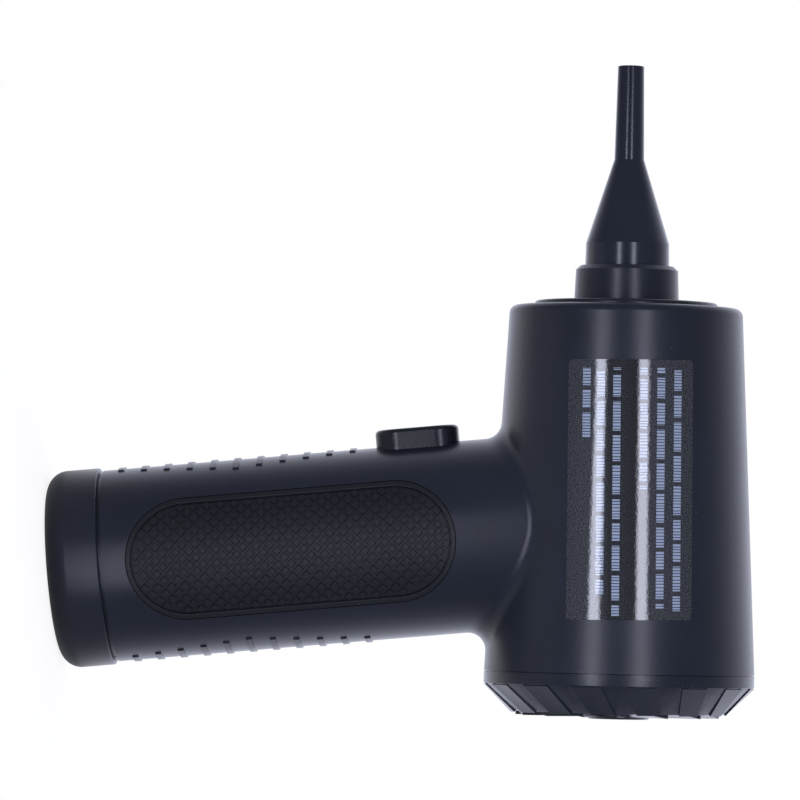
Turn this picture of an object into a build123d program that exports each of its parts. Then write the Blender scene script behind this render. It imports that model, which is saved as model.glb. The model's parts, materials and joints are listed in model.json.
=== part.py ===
from build123d import *
from math import atan2, cos, degrees, hypot, radians, sin, sqrt, tan
import os

# Cordless hand-held air blower, in millimetres and degrees.
# The origin is the centre of the flat base under the grip, +Z runs up the grip,
# +X points to the nozzle and the button, +Y to the user's left.
# Pieces of the barrel are drawn along local Z, the barrel's own axis, and then placed.

# ------------------------------------------------------------------ driving sizes

# Barrel cone and grip
barrel_pitch = 5.9
barrel_rear_radius = 32.75
barrel_front_radius = 28.2
barrel_rear_reach = 36.1
barrel_nose_fillet = 2.0
grip_radius = 23.25
grip_root_fillet = 4.2
grip_start_turn = 137.0  # where the grip's round face closes on itself, clear of ribs and pads

# Shell halves
shell_wall = 2.4
seam_width = 0.3
seam_depth = 0.4
fit_gap = 0.05
spigot_wall = 1.3
spigot_length = 5.7

# End cap
cap_radius = 23.95
cap_length = 13.0
cap_floor = 2.4
cap_edge_fillet = 5.0
cap_rim_fillet = 0.5
cap_inner_fillet = 4.0
cap_seam = 0.9
cap_screw_offset = 14.0

# Fasteners
screw_radius = 1.1
screw_head_radius = 2.0
screw_head_height = 1.6
screw_engagement = 8.0
screw_seat_depth = 5.0
screw_head_gap = 0.2
boss_radius = 3.4
boss_sink = 0.5
cap_boss_radius = 3.0
rear_screw_setback = 8.0
front_screw_setback = 14.1
recess_width = 0.7

# Charging parts
usb_width = 9.0
usb_thickness = 3.2
usb_depth = 7.4
usb_recess = 0.6
usb_shell_wall = 0.3
usb_gap = 0.2
usb_tongue_thickness = 0.7
charge_board_length = 30.0
charge_board_width = 20.0
board_thickness = 1.6
light_pipe_radius = 1.5
light_pipe_offset = 9.5
light_pipe_recess = 0.25
led_height = 0.8
pack_headroom = 7.0

# Battery pack
cell_radius = 9.2
cell_length = 65.2
cell_edge_fillet = 0.8
cell_spacing = 0.5
cell_pocket_gap = 0.15
cell_pocket_depth = 3.3
holder_floor = 1.1
holder_wall_gap = 0.15
holder_front = 15.4
strip_thickness = 0.3
strip_pad_radius = 6.0
strip_bar_width = 6.0
strip_gap = 0.2

# Wires
thick_wire_radius = 0.8
thin_wire_radius = 0.75
wire_gap = 0.5
charge_lead_inset = 4.25
charge_lead_turn = 120.0
charge_lead_first_bend = 2.94
charge_lead_second_bend = 4.9
motor_lead_start = 14.0
motor_lead_bow_out = 1.65
motor_lead_bow_back = 2.25
motor_lead_wall_offset = 0.25
motor_lead_bend_share = 0.45

# Button and its switch
button_length = 20.2
button_width = 13.0
button_corner = 5.6
button_proud = 4.1
button_top_fillet = 1.1
button_gap = 0.2
button_lip = 1.2
button_lip_thickness = 1.5
button_lip_gap = 1.8
button_travel = 0.8
button_stem_radius = 2.2
switch_board_height = 14.0
switch_board_width = 14.0
switch_board_thickness = 1.2
switch_board_gap = 0.8
switch_board_depth = 9.6
switch_offset = 5.3
switch_size = 6.0
switch_depth = 3.5
plunger_radius = 1.6
plunger_length = 2.8
plunger_proud = 1.3
rail_thickness = 1.1
rail_inset = 5.8
header_pin_width = 0.7
header_pitch = 2.0

# Control board
control_board_gap = 0.5
control_board_radius = 20.0
ledge_thickness = 1.3
ledge_width = 2.85
board_headroom = 10.1
capacitor_radius = 3.2
capacitor_height = 6.5
capacitor_edge_fillet = 0.4
chip_size = 4.8
chip_height = 1.1
chip_ring_radius = 10.5
chip_near_turn = 67.5
chip_far_turn = 112.5

# Air duct, outside the impeller and around the motor
duct_margin = 7.45
duct_wall = 1.4
bayonet_length = 8.8
bayonet_rim_gap = 0.4
bayonet_wall = 2.4
rear_gasket_thickness = 0.4
flange_thickness = 1.6
shroud_length = 25.0
shroud_throat_radius = 14.0
shroud_throat_length = 2.5
shroud_cone_end = 16.5
diffuser_length = 28.0
diffuser_plate = 1.4
diffuser_hub_length = 26.0
vane_count = 11
vane_thickness = 1.1
vane_length = 16.0
vane_skew = 32.0
lead_slot_width = 9.0
lead_slot_length = 4.2
lead_slot_setback = 5.0
outlet_cone_length = 21.2
outlet_cone_start = 2.5
front_gasket_thickness = 0.8
front_gasket_radius = 15.5

# Impeller
impeller_gap = 0.6
impeller_length = 18.0
impeller_disc = 1.2
impeller_hub_radius = 4.8
impeller_back_gap = 2.8
blade_count = 11
blade_thickness = 0.9
blade_skew = 38.0
# Hub steps as shares of the way out to the rim and of the length from the front
impeller_hub_steps = ((0.045, 0.55), (0.234, 0.29), (0.572, 0.13))
nut_width = 5.5
nut_height = 2.0

# Motor
motor_radius = 15.0
motor_wall = 1.5
motor_inner_length = 22.0
motor_bell_thickness = 4.4
motor_front_wall = 3.6
shaft_radius = 1.5
shaft_gap = 0.03
shaft_hole_gap = 0.6
bearing_radius = 4.0
bearing_length = 3.0
stator_length = 16.0
rotor_radius = 7.4
air_gap = 0.5
rotor_chamfer = 0.5
tooth_count = 6
tooth_width = 3.2
stator_yoke = 1.6
coil_thickness = 1.4
coil_clearance = 0.4
damper_thickness = 1.0
damper_length = 4.0
damper_setback = 2.0
motor_screw_circle = 9.0
motor_screw_count = 3
motor_screw_head_height = 1.2

# Outlet collar and nozzle
collar_ring_radius = 22.2
collar_ring_height = 1.2
collar_ring_fillet = 0.8
collar_radius = 12.7
collar_tip_radius = 12.35
collar_length = 8.7
collar_chamfer = 1.0
collar_neck_radius = 16.0
collar_flange_radius = 19.0
socket_gap = 0.08
socket_depth = 12.5
nozzle_plug_radius = 10.22
nozzle_base_radius = 10.1
nozzle_base_length = 5.5
nozzle_base_fillet = 0.6
nozzle_cone_length = 20.3
nozzle_cone_tip_radius = 3.65
nozzle_tube_length = 22.9
nozzle_tube_radius = 3.6
nozzle_tip_radius = 3.18
nozzle_bore_radius = 2.2
nozzle_wall = 1.5
nozzle_rim_fillet = 0.3
seal_radius = 0.5
seal_setback = 4.5
seal_groove_play = 0.2

# Intake cover
cover_gap = 0.4
cover_land_inset = 0.45
cover_ring_length = 2.9
cover_chamfer = 6.6
cover_facets = 15
cover_facet_turn = 12.8
cover_facet_sweep = 6.0
cover_recess_start = 0.4
cover_recess_end = 0.6
cover_first_facet = 12.5
cover_facet_root = 0.3
cover_hub_radius = 8.0
cover_hub_thickness = 2.6
cover_hub_chamfer = 0.8
cover_rim_width = 2.5
louvre_turn = 19.0
louvre_sweep = 9.0
louvre_thickness = 1.2
louvre_rise = 1.4
louvre_proud = 0.65
cover_spigot_wall = 1.6
cover_spigot_length = 6.5
bayonet_gap = 0.3
bayonet_play_turn = 0.5
lug_count = 3
lug_turn = 14.0
lug_height = 1.2
lug_length = 2.0
lug_setback = 3.5
unlock_turn = 20.0

# Intake filter, held in the cover
filter_mesh_thickness = 0.4
filter_foam_thickness = 4.0
filter_frame_thickness = 1.5
filter_frame_width = 2.0
filter_gap = 0.3

# Grip surface
pad_length = 79.4
pad_width = 29.0
pad_thickness = 0.9
pad_proud = 0.1
pad_gap = 0.2
pad_setback = 5.7
rib_count = 11
rib_pitch = 5.65
rib_width = 1.9
rib_crest_width = 1.3
rib_proud = 0.4
rib_setback = 4.6
rib_front_turn = 26.3
rib_rear_turn = 29.4
rib_turn_step = 2.6

# Clear label film on the left of the barrel
label_length = 62.1
label_width = 31.0
label_thickness = 0.2
label_corner = 1.0
label_nose_setback = 13.7
label_rise = 2.65
label_skew = 0.72
label_gap = 0.03

# ------------------------------------------------------------------ places worked out

# Up the grip
grip_bottom = cap_length + cap_seam
grip_inner_radius = grip_radius - shell_wall
spigot_radius = grip_inner_radius + spigot_wall
charge_board_bottom = usb_recess + usb_depth
charge_board_top = charge_board_bottom + board_thickness
pack_bottom = charge_board_top + pack_headroom
cell_bottom = pack_bottom + holder_floor + strip_thickness
cell_top = cell_bottom + cell_length
pack_top = cell_top + strip_thickness + holder_floor
cell_circle = (2 * cell_radius + cell_spacing) / sqrt(3)
cell_places = [(cell_circle * cos(radians(a)), cell_circle * sin(radians(a))) for a in (60, 180, 300)]
switch_board_bottom = pack_top + switch_board_gap
switch_board_top = switch_board_bottom + switch_board_height
button_height = switch_board_bottom + switch_offset
button_lip_half = button_length / 2 + button_lip
ledge_bottom = button_height + button_lip_half + control_board_gap
control_board_bottom = ledge_bottom + ledge_thickness + fit_gap
control_board_top = control_board_bottom + board_thickness
duct_radius = barrel_rear_radius - shell_wall - duct_margin
barrel_axis_height = control_board_top + board_headroom + duct_radius

# Along the barrel, from the intake forward
seam_at = -barrel_rear_reach
bayonet_rear = seam_at + bayonet_rim_gap
bayonet_front = bayonet_rear + bayonet_length
shroud_rear = bayonet_front + rear_gasket_thickness
shroud_front = shroud_rear + shroud_length
diffuser_front = shroud_front + diffuser_length
cone_front = diffuser_front + outlet_cone_length
collar_rear = cone_front + front_gasket_thickness
collar_flange_front = collar_rear + flange_thickness
nose_inner = collar_flange_front + fit_gap
barrel_front_reach = nose_inner + shell_wall
collar_ring_front = barrel_front_reach + collar_ring_height
collar_front = collar_ring_front + collar_length
socket_floor = collar_front - socket_depth
barrel_taper = (barrel_rear_radius - barrel_front_radius) / (barrel_rear_reach + barrel_front_reach)
barrel_narrowing = (bayonet_front - seam_at) * barrel_taper
bayonet_inner_radius = barrel_rear_radius - barrel_narrowing - shell_wall - bayonet_wall
cover_spigot_radius = bayonet_inner_radius - bayonet_gap

forward = (cos(radians(barrel_pitch)), 0, sin(radians(barrel_pitch)))
barrel_frame = Plane(
    origin=(0, 0, barrel_axis_height),
    x_dir=(forward[2], 0, -forward[0]),
    z_dir=forward,
).location


# ------------------------------------------------------------------ helpers

def turned(points, arc=360.0, start=0.0):
    """Solid turned about local Z from (radius, height) points."""
    outline = Plane.XZ * make_face(Polyline(*points, close=True))
    return Rot(0, 0, start) * revolve(outline, Axis.Z, arc)


def rod(radius, low, high, at=(0, 0)):
    """Upright cylinder between two heights."""
    return Pos(at[0], at[1], low) * Cylinder(
        radius, high - low, align=(Align.CENTER, Align.CENTER, Align.MIN)
    )


def sleeve(outer, inner, low, high):
    """Upright tube between two heights."""
    return rod(outer, low, high) - rod(inner, low, high)


def cross_rod(radius, at, start, end):
    """Cylinder along Y at an (x, z) place, between two y values."""
    turn = Rot(-90, 0, 0)
    return Pos(at[0], start, at[1]) * turn * Cylinder(
        radius, end - start, align=(Align.CENTER, Align.CENTER, Align.MIN)
    )


def block(low, high):
    """Box between two opposite corners."""
    middle = [(a + b) / 2 for a, b in zip(low, high)]
    return Pos(*middle) * Box(*[b - a for a, b in zip(low, high)])


def polar(radius, angle, height):
    """Point at an angle in degrees about local Z."""
    return (radius * cos(radians(angle)), radius * sin(radians(angle)), height)


def around(count, piece):
    """Copies of a piece spaced evenly about local Z."""
    return [Rot(0, 0, i * 360 / count) * piece for i in range(count)]


def four_sided(start, end):
    """Straight solid from one four-cornered section to another."""
    sections = [make_face(Polyline(*corners, close=True)) for corners in (start, end)]
    return loft(sections, ruled=True)


def barrel_radius(at, inset=0.0):
    """Radius of the barrel's cone at a place on its axis, less an inset."""
    return barrel_rear_radius - (at - seam_at) * barrel_taper - inset


def barrel_ring(inner, rear, front, inset):
    """Ring, or disc where inner is 0, whose outside follows the barrel's cone."""
    outer = [(barrel_radius(at, inset), at) for at in (rear, front)]
    return turned([(inner, rear)] + outer + [(inner, front)])


def body_form(inset=0.0):
    """Barrel and grip as one solid, with every outside face moved in by inset."""
    nose = barrel_front_reach - inset
    cone = barrel_ring(0, seam_at, nose, inset)
    cone = fillet(cone.edges().group_by(Axis.Z)[-1], barrel_nose_fillet)
    grip = Rot(0, 0, grip_start_turn) * rod(grip_radius - inset, grip_bottom, barrel_axis_height)
    body = barrel_frame * cone + grip
    root = [edge for edge in body.edges() if edge.geom_type not in (GeomType.CIRCLE, GeomType.LINE)]
    return fillet(root, grip_root_fillet + inset)


def ring_in_barrel(inner, rear, front):
    """Ring whose outside follows the inside of the barrel with a fit gap."""
    return barrel_ring(inner, rear, front, shell_wall + fit_gap)


def circles_of(piece, radius):
    """A piece's round edges of one radius."""
    return piece.edges().filter_by(GeomType.CIRCLE).filter_by(lambda edge: abs(edge.radius - radius) < 0.01)


def skewed_plates(count, thickness, skew, reach, low, high):
    """Upright plates about local Z, each turned away from the radius by skew."""
    plate = block((0, -thickness / 2, low), (reach, thickness / 2, high))
    leaned = Pos(reach / 4, 0, 0) * Rot(0, 0, skew) * plate
    return around(count, leaned)


# ------------------------------------------------------------------ shells and what closes them

def barrel_screw_reach(at):
    """Distance from the barrel's axis to a screw, whose boss sinks into the wall."""
    return barrel_radius(at, shell_wall) - boss_radius + boss_sink


def at_screws(piece):
    """Copies of a piece at each place where a screw joins the two shells."""
    rear = shroud_rear + rear_screw_setback
    front = barrel_front_reach - front_screw_setback
    barrel_places = [
        (-barrel_screw_reach(rear), rear),
        (-barrel_screw_reach(front), front),
        (barrel_screw_reach(front), front),
    ]
    placed = [barrel_frame * Pos(x, 0, z) * piece for x, z in barrel_places]
    grip_x = boss_radius - boss_sink / 2 - grip_inner_radius
    return placed + [Pos(grip_x, 0, (pack_top + ledge_bottom) / 2) * piece]


def shell_screw():
    """Pan-head screw along Y, its head towards the right."""
    shank = cross_rod(screw_radius, (0, 0), -screw_seat_depth, screw_engagement)
    head_end = -screw_seat_depth - screw_head_height
    head = cross_rod(screw_head_radius, (0, 0), head_end, -screw_seat_depth)
    slot_floor = head_end + screw_head_height / 2
    slots = [
        block((-a, head_end, -b), (a, slot_floor, b))
        for a, b in ((screw_radius, recess_width / 2), (recess_width / 2, screw_radius))
    ]
    return shank + head - slots


def grip_ribs():
    """Fine ribs across the front and back of the grip, longest at mid height."""
    middle = (rib_count - 1) / 2
    root = grip_radius - rib_proud
    crest = grip_radius + rib_proud
    ribs = []
    for i in range(rib_count):
        z = grip_bottom + rib_setback + i * rib_pitch
        section = [
            (root, z - rib_width / 2),
            (crest, z - rib_crest_width / 2),
            (crest, z + rib_crest_width / 2),
            (root, z + rib_width / 2),
        ]
        for facing, peak in ((0, rib_front_turn), (180, rib_rear_turn)):
            half = peak - rib_turn_step * abs(i - middle)
            ribs.append(turned(section, 2 * half, facing - half))
    return ribs


def pad_outline(grow=0.0):
    """Upright stadium prism along Y through the whole grip, for the side pads."""
    z = grip_bottom + pad_setback + pad_length / 2
    outline = SlotOverall(pad_length + 2 * grow, pad_width + 2 * grow, rotation=90)
    return Pos(0, 0, z) * extrude(Plane.XZ * outline, 2 * grip_radius, both=True)


def button_outline(length, width, corner, low, high):
    """Round-cornered prism along X at the button."""
    plan = Plane(origin=(low, 0, button_height), x_dir=(0, 1, 0), z_dir=(1, 0, 0))
    return extrude(plan * RectangleRounded(width, length, corner), high - low)


def cap_screw_bosses():
    """Bosses inside the spigot for the end cap's screws, with their webs and holes."""
    top = pack_bottom - wire_gap
    low = grip_bottom - spigot_length
    reach = grip_inner_radius + spigot_wall / 2
    made = []
    for side in (-1, 1):
        made.append(rod(cap_boss_radius, low, top, (0, side * cap_screw_offset)))
        ends = sorted((side * cap_screw_offset, side * reach))
        made.append(block((-screw_radius, ends[0], low), (screw_radius, ends[1], top)))
    return made


def shell_halves():
    """Left and right shells: one hollow body, cut along the middle."""
    body = body_form()
    spigot_bottom = grip_bottom - spigot_length
    body = body + rod(spigot_radius, spigot_bottom, grip_bottom + shell_wall)
    hollow = barrel_frame * turned(
        [
            (0, seam_at - shell_wall),
            (barrel_radius(seam_at - shell_wall, shell_wall), seam_at - shell_wall),
            (barrel_radius(nose_inner, shell_wall), nose_inner),
            (0, nose_inner),
        ]
    )
    hollow = hollow + rod(grip_inner_radius, spigot_bottom - shell_wall, barrel_axis_height)
    body = body - hollow

    inside = body_form(shell_wall / 2) + rod(grip_inner_radius, spigot_bottom, grip_bottom)
    bosses = at_screws(cross_rod(boss_radius, (0, 0), -barrel_rear_radius, barrel_rear_radius))
    ledge_outer = grip_inner_radius + shell_wall / 2
    ledge = sleeve(ledge_outer, grip_inner_radius - ledge_width, ledge_bottom, ledge_bottom + ledge_thickness)
    body = body + [boss & inside for boss in bosses] + [ledge] + cap_screw_bosses()
    body = body + [rail & inside for rail in switch_rails()] + grip_ribs()

    pockets = pad_outline(pad_gap) - rod(grip_radius - pad_thickness - fit_gap, 0, barrel_axis_height)
    button_hole = button_outline(
        button_length + 2 * button_gap,
        button_width + 2 * button_gap,
        button_corner + button_gap,
        grip_inner_radius / 2,
        2 * grip_radius,
    )
    neck_hole = barrel_frame * rod(collar_neck_radius + fit_gap, nose_inner - shell_wall, collar_ring_front)
    shanks = at_screws(cross_rod(screw_radius, (0, 0), -screw_seat_depth, screw_engagement))
    heads = at_screws(
        cross_rod(screw_head_radius + screw_head_gap, (0, 0), -barrel_rear_radius, -screw_seat_depth)
    )
    cap_shanks = [
        rod(screw_radius, 0, cap_floor + screw_engagement + screw_seat_depth, (0, side * cap_screw_offset))
        for side in (-1, 1)
    ]
    body = body - [pockets, button_hole, neck_hole] - shanks - heads - cap_shanks

    reach = 2 * (barrel_axis_height + barrel_rear_radius)
    groove = block((-reach, -seam_width / 2, 0), (reach, seam_width / 2, reach)) - body_form(seam_depth)
    groove = groove - rod(spigot_radius, 0, grip_bottom + shell_wall)
    left = (body & block((-reach, 0, 0), (reach, reach, reach))) - groove
    right = (body & block((-reach, -reach, 0), (reach, 0, reach))) - groove
    return left, right


def end_cap():
    """Round cap over the foot of the grip, with its screw wells and its two openings."""
    outer = rod(cap_radius, 0, cap_length)
    outer = fillet(outer.edges().group_by(Axis.Z)[0], cap_edge_fillet)
    outer = fillet(outer.edges().group_by(Axis.Z)[-1], cap_rim_fillet)
    inner = rod(spigot_radius + fit_gap, cap_floor, cap_length + cap_floor)
    inner = fillet(inner.edges().group_by(Axis.Z)[0], cap_inner_fillet)
    cap = outer - inner
    head = screw_head_radius + screw_head_gap
    for side in (-1, 1):
        at = (0, side * cap_screw_offset)
        post = rod(cap_boss_radius, cap_floor / 2, grip_bottom - spigot_length, at)
        cap = cap + (post & outer)
        cap = cap - rod(screw_radius, 0, cap_length, at) - rod(head, 0, cap_floor, at)
    usb_hole = extrude(
        SlotOverall(usb_width + 2 * usb_gap, usb_thickness + 2 * usb_gap), cap_length
    )
    return cap - usb_hole - rod(light_pipe_radius + fit_gap, 0, cap_length, (light_pipe_offset, 0))


def cap_screws():
    """Two screws from the base up into the shells' bosses."""
    shank = rod(screw_radius, cap_floor, cap_floor + screw_engagement + screw_seat_depth)
    head = rod(screw_head_radius, cap_floor - screw_head_height, cap_floor)
    floor = cap_floor - screw_head_height / 2
    slots = [
        block((-a, -b, 0), (a, b, floor))
        for a, b in ((screw_radius, recess_width / 2), (recess_width / 2, screw_radius))
    ]
    screw = shank + head - slots
    return [Pos(0, side * cap_screw_offset, 0) * screw for side in (-1, 1)]


# ------------------------------------------------------------------ charging parts and battery

def usb_socket():
    """Folded metal shell of the charging socket, closed at the board end."""
    tube = extrude(SlotOverall(usb_width, usb_thickness), usb_depth)
    inside = SlotOverall(usb_width - 2 * usb_shell_wall, usb_thickness - 2 * usb_shell_wall)
    return Pos(0, 0, usb_recess) * (tube - extrude(inside, usb_depth - usb_shell_wall))


def usb_insert():
    """Moulded tongue of the socket on its back block."""
    inside_width = usb_width - 2 * (usb_shell_wall + fit_gap)
    inside_thickness = usb_thickness - 2 * (usb_shell_wall + fit_gap)
    top = charge_board_bottom - usb_shell_wall
    middle = usb_recess + usb_depth / 2
    back = extrude(Pos(0, 0, middle) * SlotOverall(inside_width, inside_thickness), top - middle)
    tongue_half = inside_width / 2 - usb_tongue_thickness
    tongue = block(
        (-tongue_half, -usb_tongue_thickness / 2, usb_recess + usb_tongue_thickness),
        (tongue_half, usb_tongue_thickness / 2, middle),
    )
    return back + tongue


def charge_board():
    """Small board that carries the charging socket and its light."""
    return block(
        (-charge_board_length / 2, -charge_board_width / 2, charge_board_bottom),
        (charge_board_length / 2, charge_board_width / 2, charge_board_top),
    )


def charge_led():
    """Light under the charging board, over its pipe."""
    half = light_pipe_radius / 2
    return block(
        (light_pipe_offset - half, -half, charge_board_bottom - led_height),
        (light_pipe_offset + half, half, charge_board_bottom),
    )


def light_pipe():
    """Clear rod from the light down to the base."""
    return rod(light_pipe_radius, light_pipe_recess, charge_board_bottom - led_height, (light_pipe_offset, 0))


def battery_cell(at):
    """One cylindrical cell with rounded ends."""
    cell = rod(cell_radius, cell_bottom, cell_top, at)
    return fillet(cell.edges().filter_by(GeomType.CIRCLE), cell_edge_fillet)


def strip_form(grow, low, high):
    """Nickel strip: a pad over each cell end, joined by straight bars."""
    form = [rod(strip_pad_radius + grow, low, high, at) for at in cell_places]
    for (ax, ay), (bx, by) in zip(cell_places, cell_places[1:] + cell_places[:1]):
        middle = Pos((ax + bx) / 2, (ay + by) / 2, (low + high) / 2)
        turn = Rot(0, 0, degrees(atan2(by - ay, bx - ax)))
        length = hypot(bx - ax, by - ay)
        form.append(middle * turn * Box(length, strip_bar_width + 2 * grow, high - low))
    return form[0] + form[1:]


charge_lead_x, charge_lead_y, _ = polar(grip_inner_radius - charge_lead_inset, charge_lead_turn, 0)


def battery_holder(floor_bottom, floor_top, strip_far, pocket_end):
    """Frame over one end of the pack, with a pocket for each cell and its strip."""
    low, high = sorted((floor_bottom, pocket_end))
    frame = rod(grip_inner_radius - holder_wall_gap, low, high)
    frame = frame & block((-grip_radius, -grip_radius, low), (holder_front, grip_radius, high))
    pocket = sorted((floor_top, pocket_end))
    frame = frame - [rod(cell_radius + cell_pocket_gap, pocket[0], pocket[1], at) for at in cell_places]
    recess = sorted((floor_top, strip_far))
    frame = frame - strip_form(strip_gap, recess[0], recess[1])
    hole = thin_wire_radius + fit_gap
    return frame - [rod(hole, low, high, (charge_lead_x, side * charge_lead_y)) for side in (-1, 1)]


def lower_holder():
    """Holder under the cells."""
    floor_top = pack_bottom + holder_floor
    frame = battery_holder(pack_bottom, floor_top, cell_bottom + fit_gap, floor_top + cell_pocket_depth)
    return frame - rod(thick_wire_radius + fit_gap, floor_top, floor_top + cell_pocket_depth)


def upper_holder():
    """Holder over the cells, with holes for the two leads to the board above."""
    floor_low = pack_top - holder_floor
    frame = battery_holder(pack_top, floor_low, cell_top - fit_gap, floor_low - cell_pocket_depth)
    hole = thick_wire_radius + fit_gap
    low = floor_low - cell_pocket_depth
    return frame - rod(hole, low, pack_top) - rod(hole, floor_low, pack_top, cell_places[1])


def nickel_strips():
    """Lower and upper strips; the upper one lets the lower lead through its middle."""
    lower = strip_form(0, cell_bottom - strip_thickness, cell_bottom)
    upper = strip_form(0, cell_top, cell_top + strip_thickness)
    return lower, upper - rod(thick_wire_radius + wire_gap, cell_top, cell_top + strip_thickness)


def battery_leads():
    """Straight leads from each strip up to the underside of the control board."""
    negative = rod(thick_wire_radius, cell_bottom, control_board_bottom)
    positive = rod(thick_wire_radius, cell_top + strip_thickness, control_board_bottom, cell_places[1])
    return negative, positive


def wire(points, radius, corner_radii):
    """Round wire along straight runs joined by arcs."""
    path = FilletPolyline(*points, radius=corner_radii)
    start = Plane(origin=path @ 0, z_dir=path % 0)
    return sweep(start * Circle(radius), path=path)


def charge_leads():
    """Two leads from the charging board, out to the wall and up past the cells."""
    inner_y = charge_board_width / 2 - 2 * thin_wire_radius
    bend = charge_lead_first_bend / 2
    made = []
    for side in (-1, 1):
        points = [
            (charge_lead_x, side * inner_y, charge_board_top),
            (charge_lead_x, side * inner_y, charge_board_top + charge_lead_first_bend),
            (charge_lead_x, side * charge_lead_y, charge_board_top + charge_lead_second_bend),
            (charge_lead_x, side * charge_lead_y, control_board_bottom),
        ]
        made.append(wire(points, thin_wire_radius, [bend, bend]))
    return made


# ------------------------------------------------------------------ button, switch and boards

switch_face = switch_board_depth + switch_board_thickness
switch_front = switch_face + switch_depth
plunger_tip = switch_front + plunger_proud
button_lip_rear = plunger_tip + button_lip_gap
button_top = grip_radius + button_proud


def power_button():
    """Button cap with the lip that keeps it in and the stem that meets the switch."""
    cap = button_outline(button_length, button_width, button_corner, button_lip_rear, button_top)
    cap = fillet(cap.edges().group_by(Axis.X)[-1], button_top_fillet)
    lip = button_outline(
        button_length + 2 * button_lip,
        button_width + 2 * button_lip,
        button_corner + button_lip,
        button_lip_rear,
        button_lip_rear + button_lip_thickness,
    )
    stem = Pos(plunger_tip, 0, button_height) * Rot(0, 90, 0) * rod(
        button_stem_radius, fit_gap, button_lip_rear - plunger_tip + button_lip_thickness
    )
    return cap + lip + stem


def switch_plunger():
    """Round plunger of the switch, which the button's stem pushes."""
    start = plunger_tip - plunger_length
    return Pos(start, 0, button_height) * Rot(0, 90, 0) * rod(plunger_radius, 0, plunger_length)


def tact_switch():
    """Square switch body with the hole that its plunger slides in."""
    half = switch_size / 2
    body = block(
        (switch_face, -half, button_height - half), (switch_front, half, button_height + half)
    )
    well = plunger_tip - plunger_length - button_travel - 2 * fit_gap
    hole = rod(plunger_radius + fit_gap, 0, switch_front - well)
    return body - Pos(well, 0, button_height) * Rot(0, 90, 0) * hole


def switch_board():
    """Upright board behind the switch."""
    half = switch_board_width / 2
    return block(
        (switch_board_depth, -half, switch_board_bottom), (switch_face, half, switch_board_top)
    )


def switch_rails():
    """Pairs of rails on both shells that hold the switch board's edges."""
    low = switch_board_bottom + rail_thickness
    high = switch_board_top - rail_thickness
    rails = []
    for side in (-1, 1):
        ends = sorted((side * rail_inset, side * grip_radius))
        for rear in (switch_board_depth - fit_gap - rail_thickness, switch_face + fit_gap):
            rails.append(block((rear, ends[0], low), (rear + rail_thickness, ends[1], high)))
    return rails


def board_header():
    """Pins between the switch board and the control board."""
    return [
        block(
            (switch_board_depth, y - header_pin_width / 2, switch_board_top),
            (switch_face, y + header_pin_width / 2, control_board_bottom),
        )
        for y in (-header_pitch, 0, header_pitch)
    ]


def control_board():
    """Round motor-control board on the ledge over the switch."""
    return rod(control_board_radius, control_board_bottom, control_board_top)


def bus_capacitor():
    """Upright capacitor on the control board."""
    at = (-control_board_radius / 2, 0)
    can = rod(capacitor_radius, control_board_top, control_board_top + capacitor_height, at)
    return fillet(can.edges().group_by(Axis.Z)[-1], capacitor_edge_fillet)


def driver_chips():
    """Power transistors and the controller, in a ring on the control board."""
    chip = block(
        (chip_ring_radius - chip_size / 2, -chip_size / 2, control_board_top),
        (chip_ring_radius + chip_size / 2, chip_size / 2, control_board_top + chip_height),
    )
    turns = (-chip_far_turn, -chip_near_turn, chip_near_turn, chip_far_turn)
    return [Rot(0, 0, turn) * chip for turn in turns]


# ------------------------------------------------------------------ fan duct

def bayonet_ring():
    """Ring inside the barrel's rear edge that the intake cover locks into."""
    inner = bayonet_inner_radius
    ring = ring_in_barrel(inner, bayonet_rear, bayonet_front)
    slot_outer = cover_spigot_radius + lug_height + bayonet_gap
    lug_rear = seam_at + lug_setback
    low = lug_rear - bayonet_gap
    high = lug_rear + lug_length + bayonet_gap
    play = degrees(bayonet_gap / cover_spigot_radius) + bayonet_play_turn
    slot = [(inner - bayonet_gap, low), (slot_outer, low), (slot_outer, high), (inner - bayonet_gap, high)]
    entry = [(x, seam_at if z == low else z) for x, z in slot]
    channel = turned(slot, lug_turn + unlock_turn + 2 * play, -lug_turn / 2 - play)
    mouth = turned(entry, lug_turn + 2 * play, unlock_turn - lug_turn / 2 - play)
    return ring - around(lug_count, channel + mouth)


def rear_gasket():
    """Thin seal between the bayonet ring and the fan shroud."""
    return ring_in_barrel(cover_spigot_radius, bayonet_front, shroud_rear)


def shroud_lines():
    """Inner end points of the shroud's cone: throat and widest place."""
    throat = (shroud_throat_radius, shroud_rear + shroud_throat_length)
    wide = (duct_radius - duct_wall, shroud_rear + shroud_cone_end)
    return throat, wide


def fan_shroud():
    """Inlet throat and cone over the impeller, with the flange that locates it."""
    throat, wide = shroud_lines()
    flange_front = shroud_rear + flange_thickness
    cone = turned(
        [
            (throat[0], shroud_rear),
            (throat[0] + flange_thickness + duct_wall, shroud_rear),
            (throat[0] + flange_thickness, flange_front),
            (duct_radius, wide[1] - flange_thickness / 2),
            (duct_radius, shroud_front),
            (wide[0], shroud_front),
            wide,
            throat,
        ]
    )
    return cone + ring_in_barrel(throat[0] + duct_wall, shroud_rear, flange_front)


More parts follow.
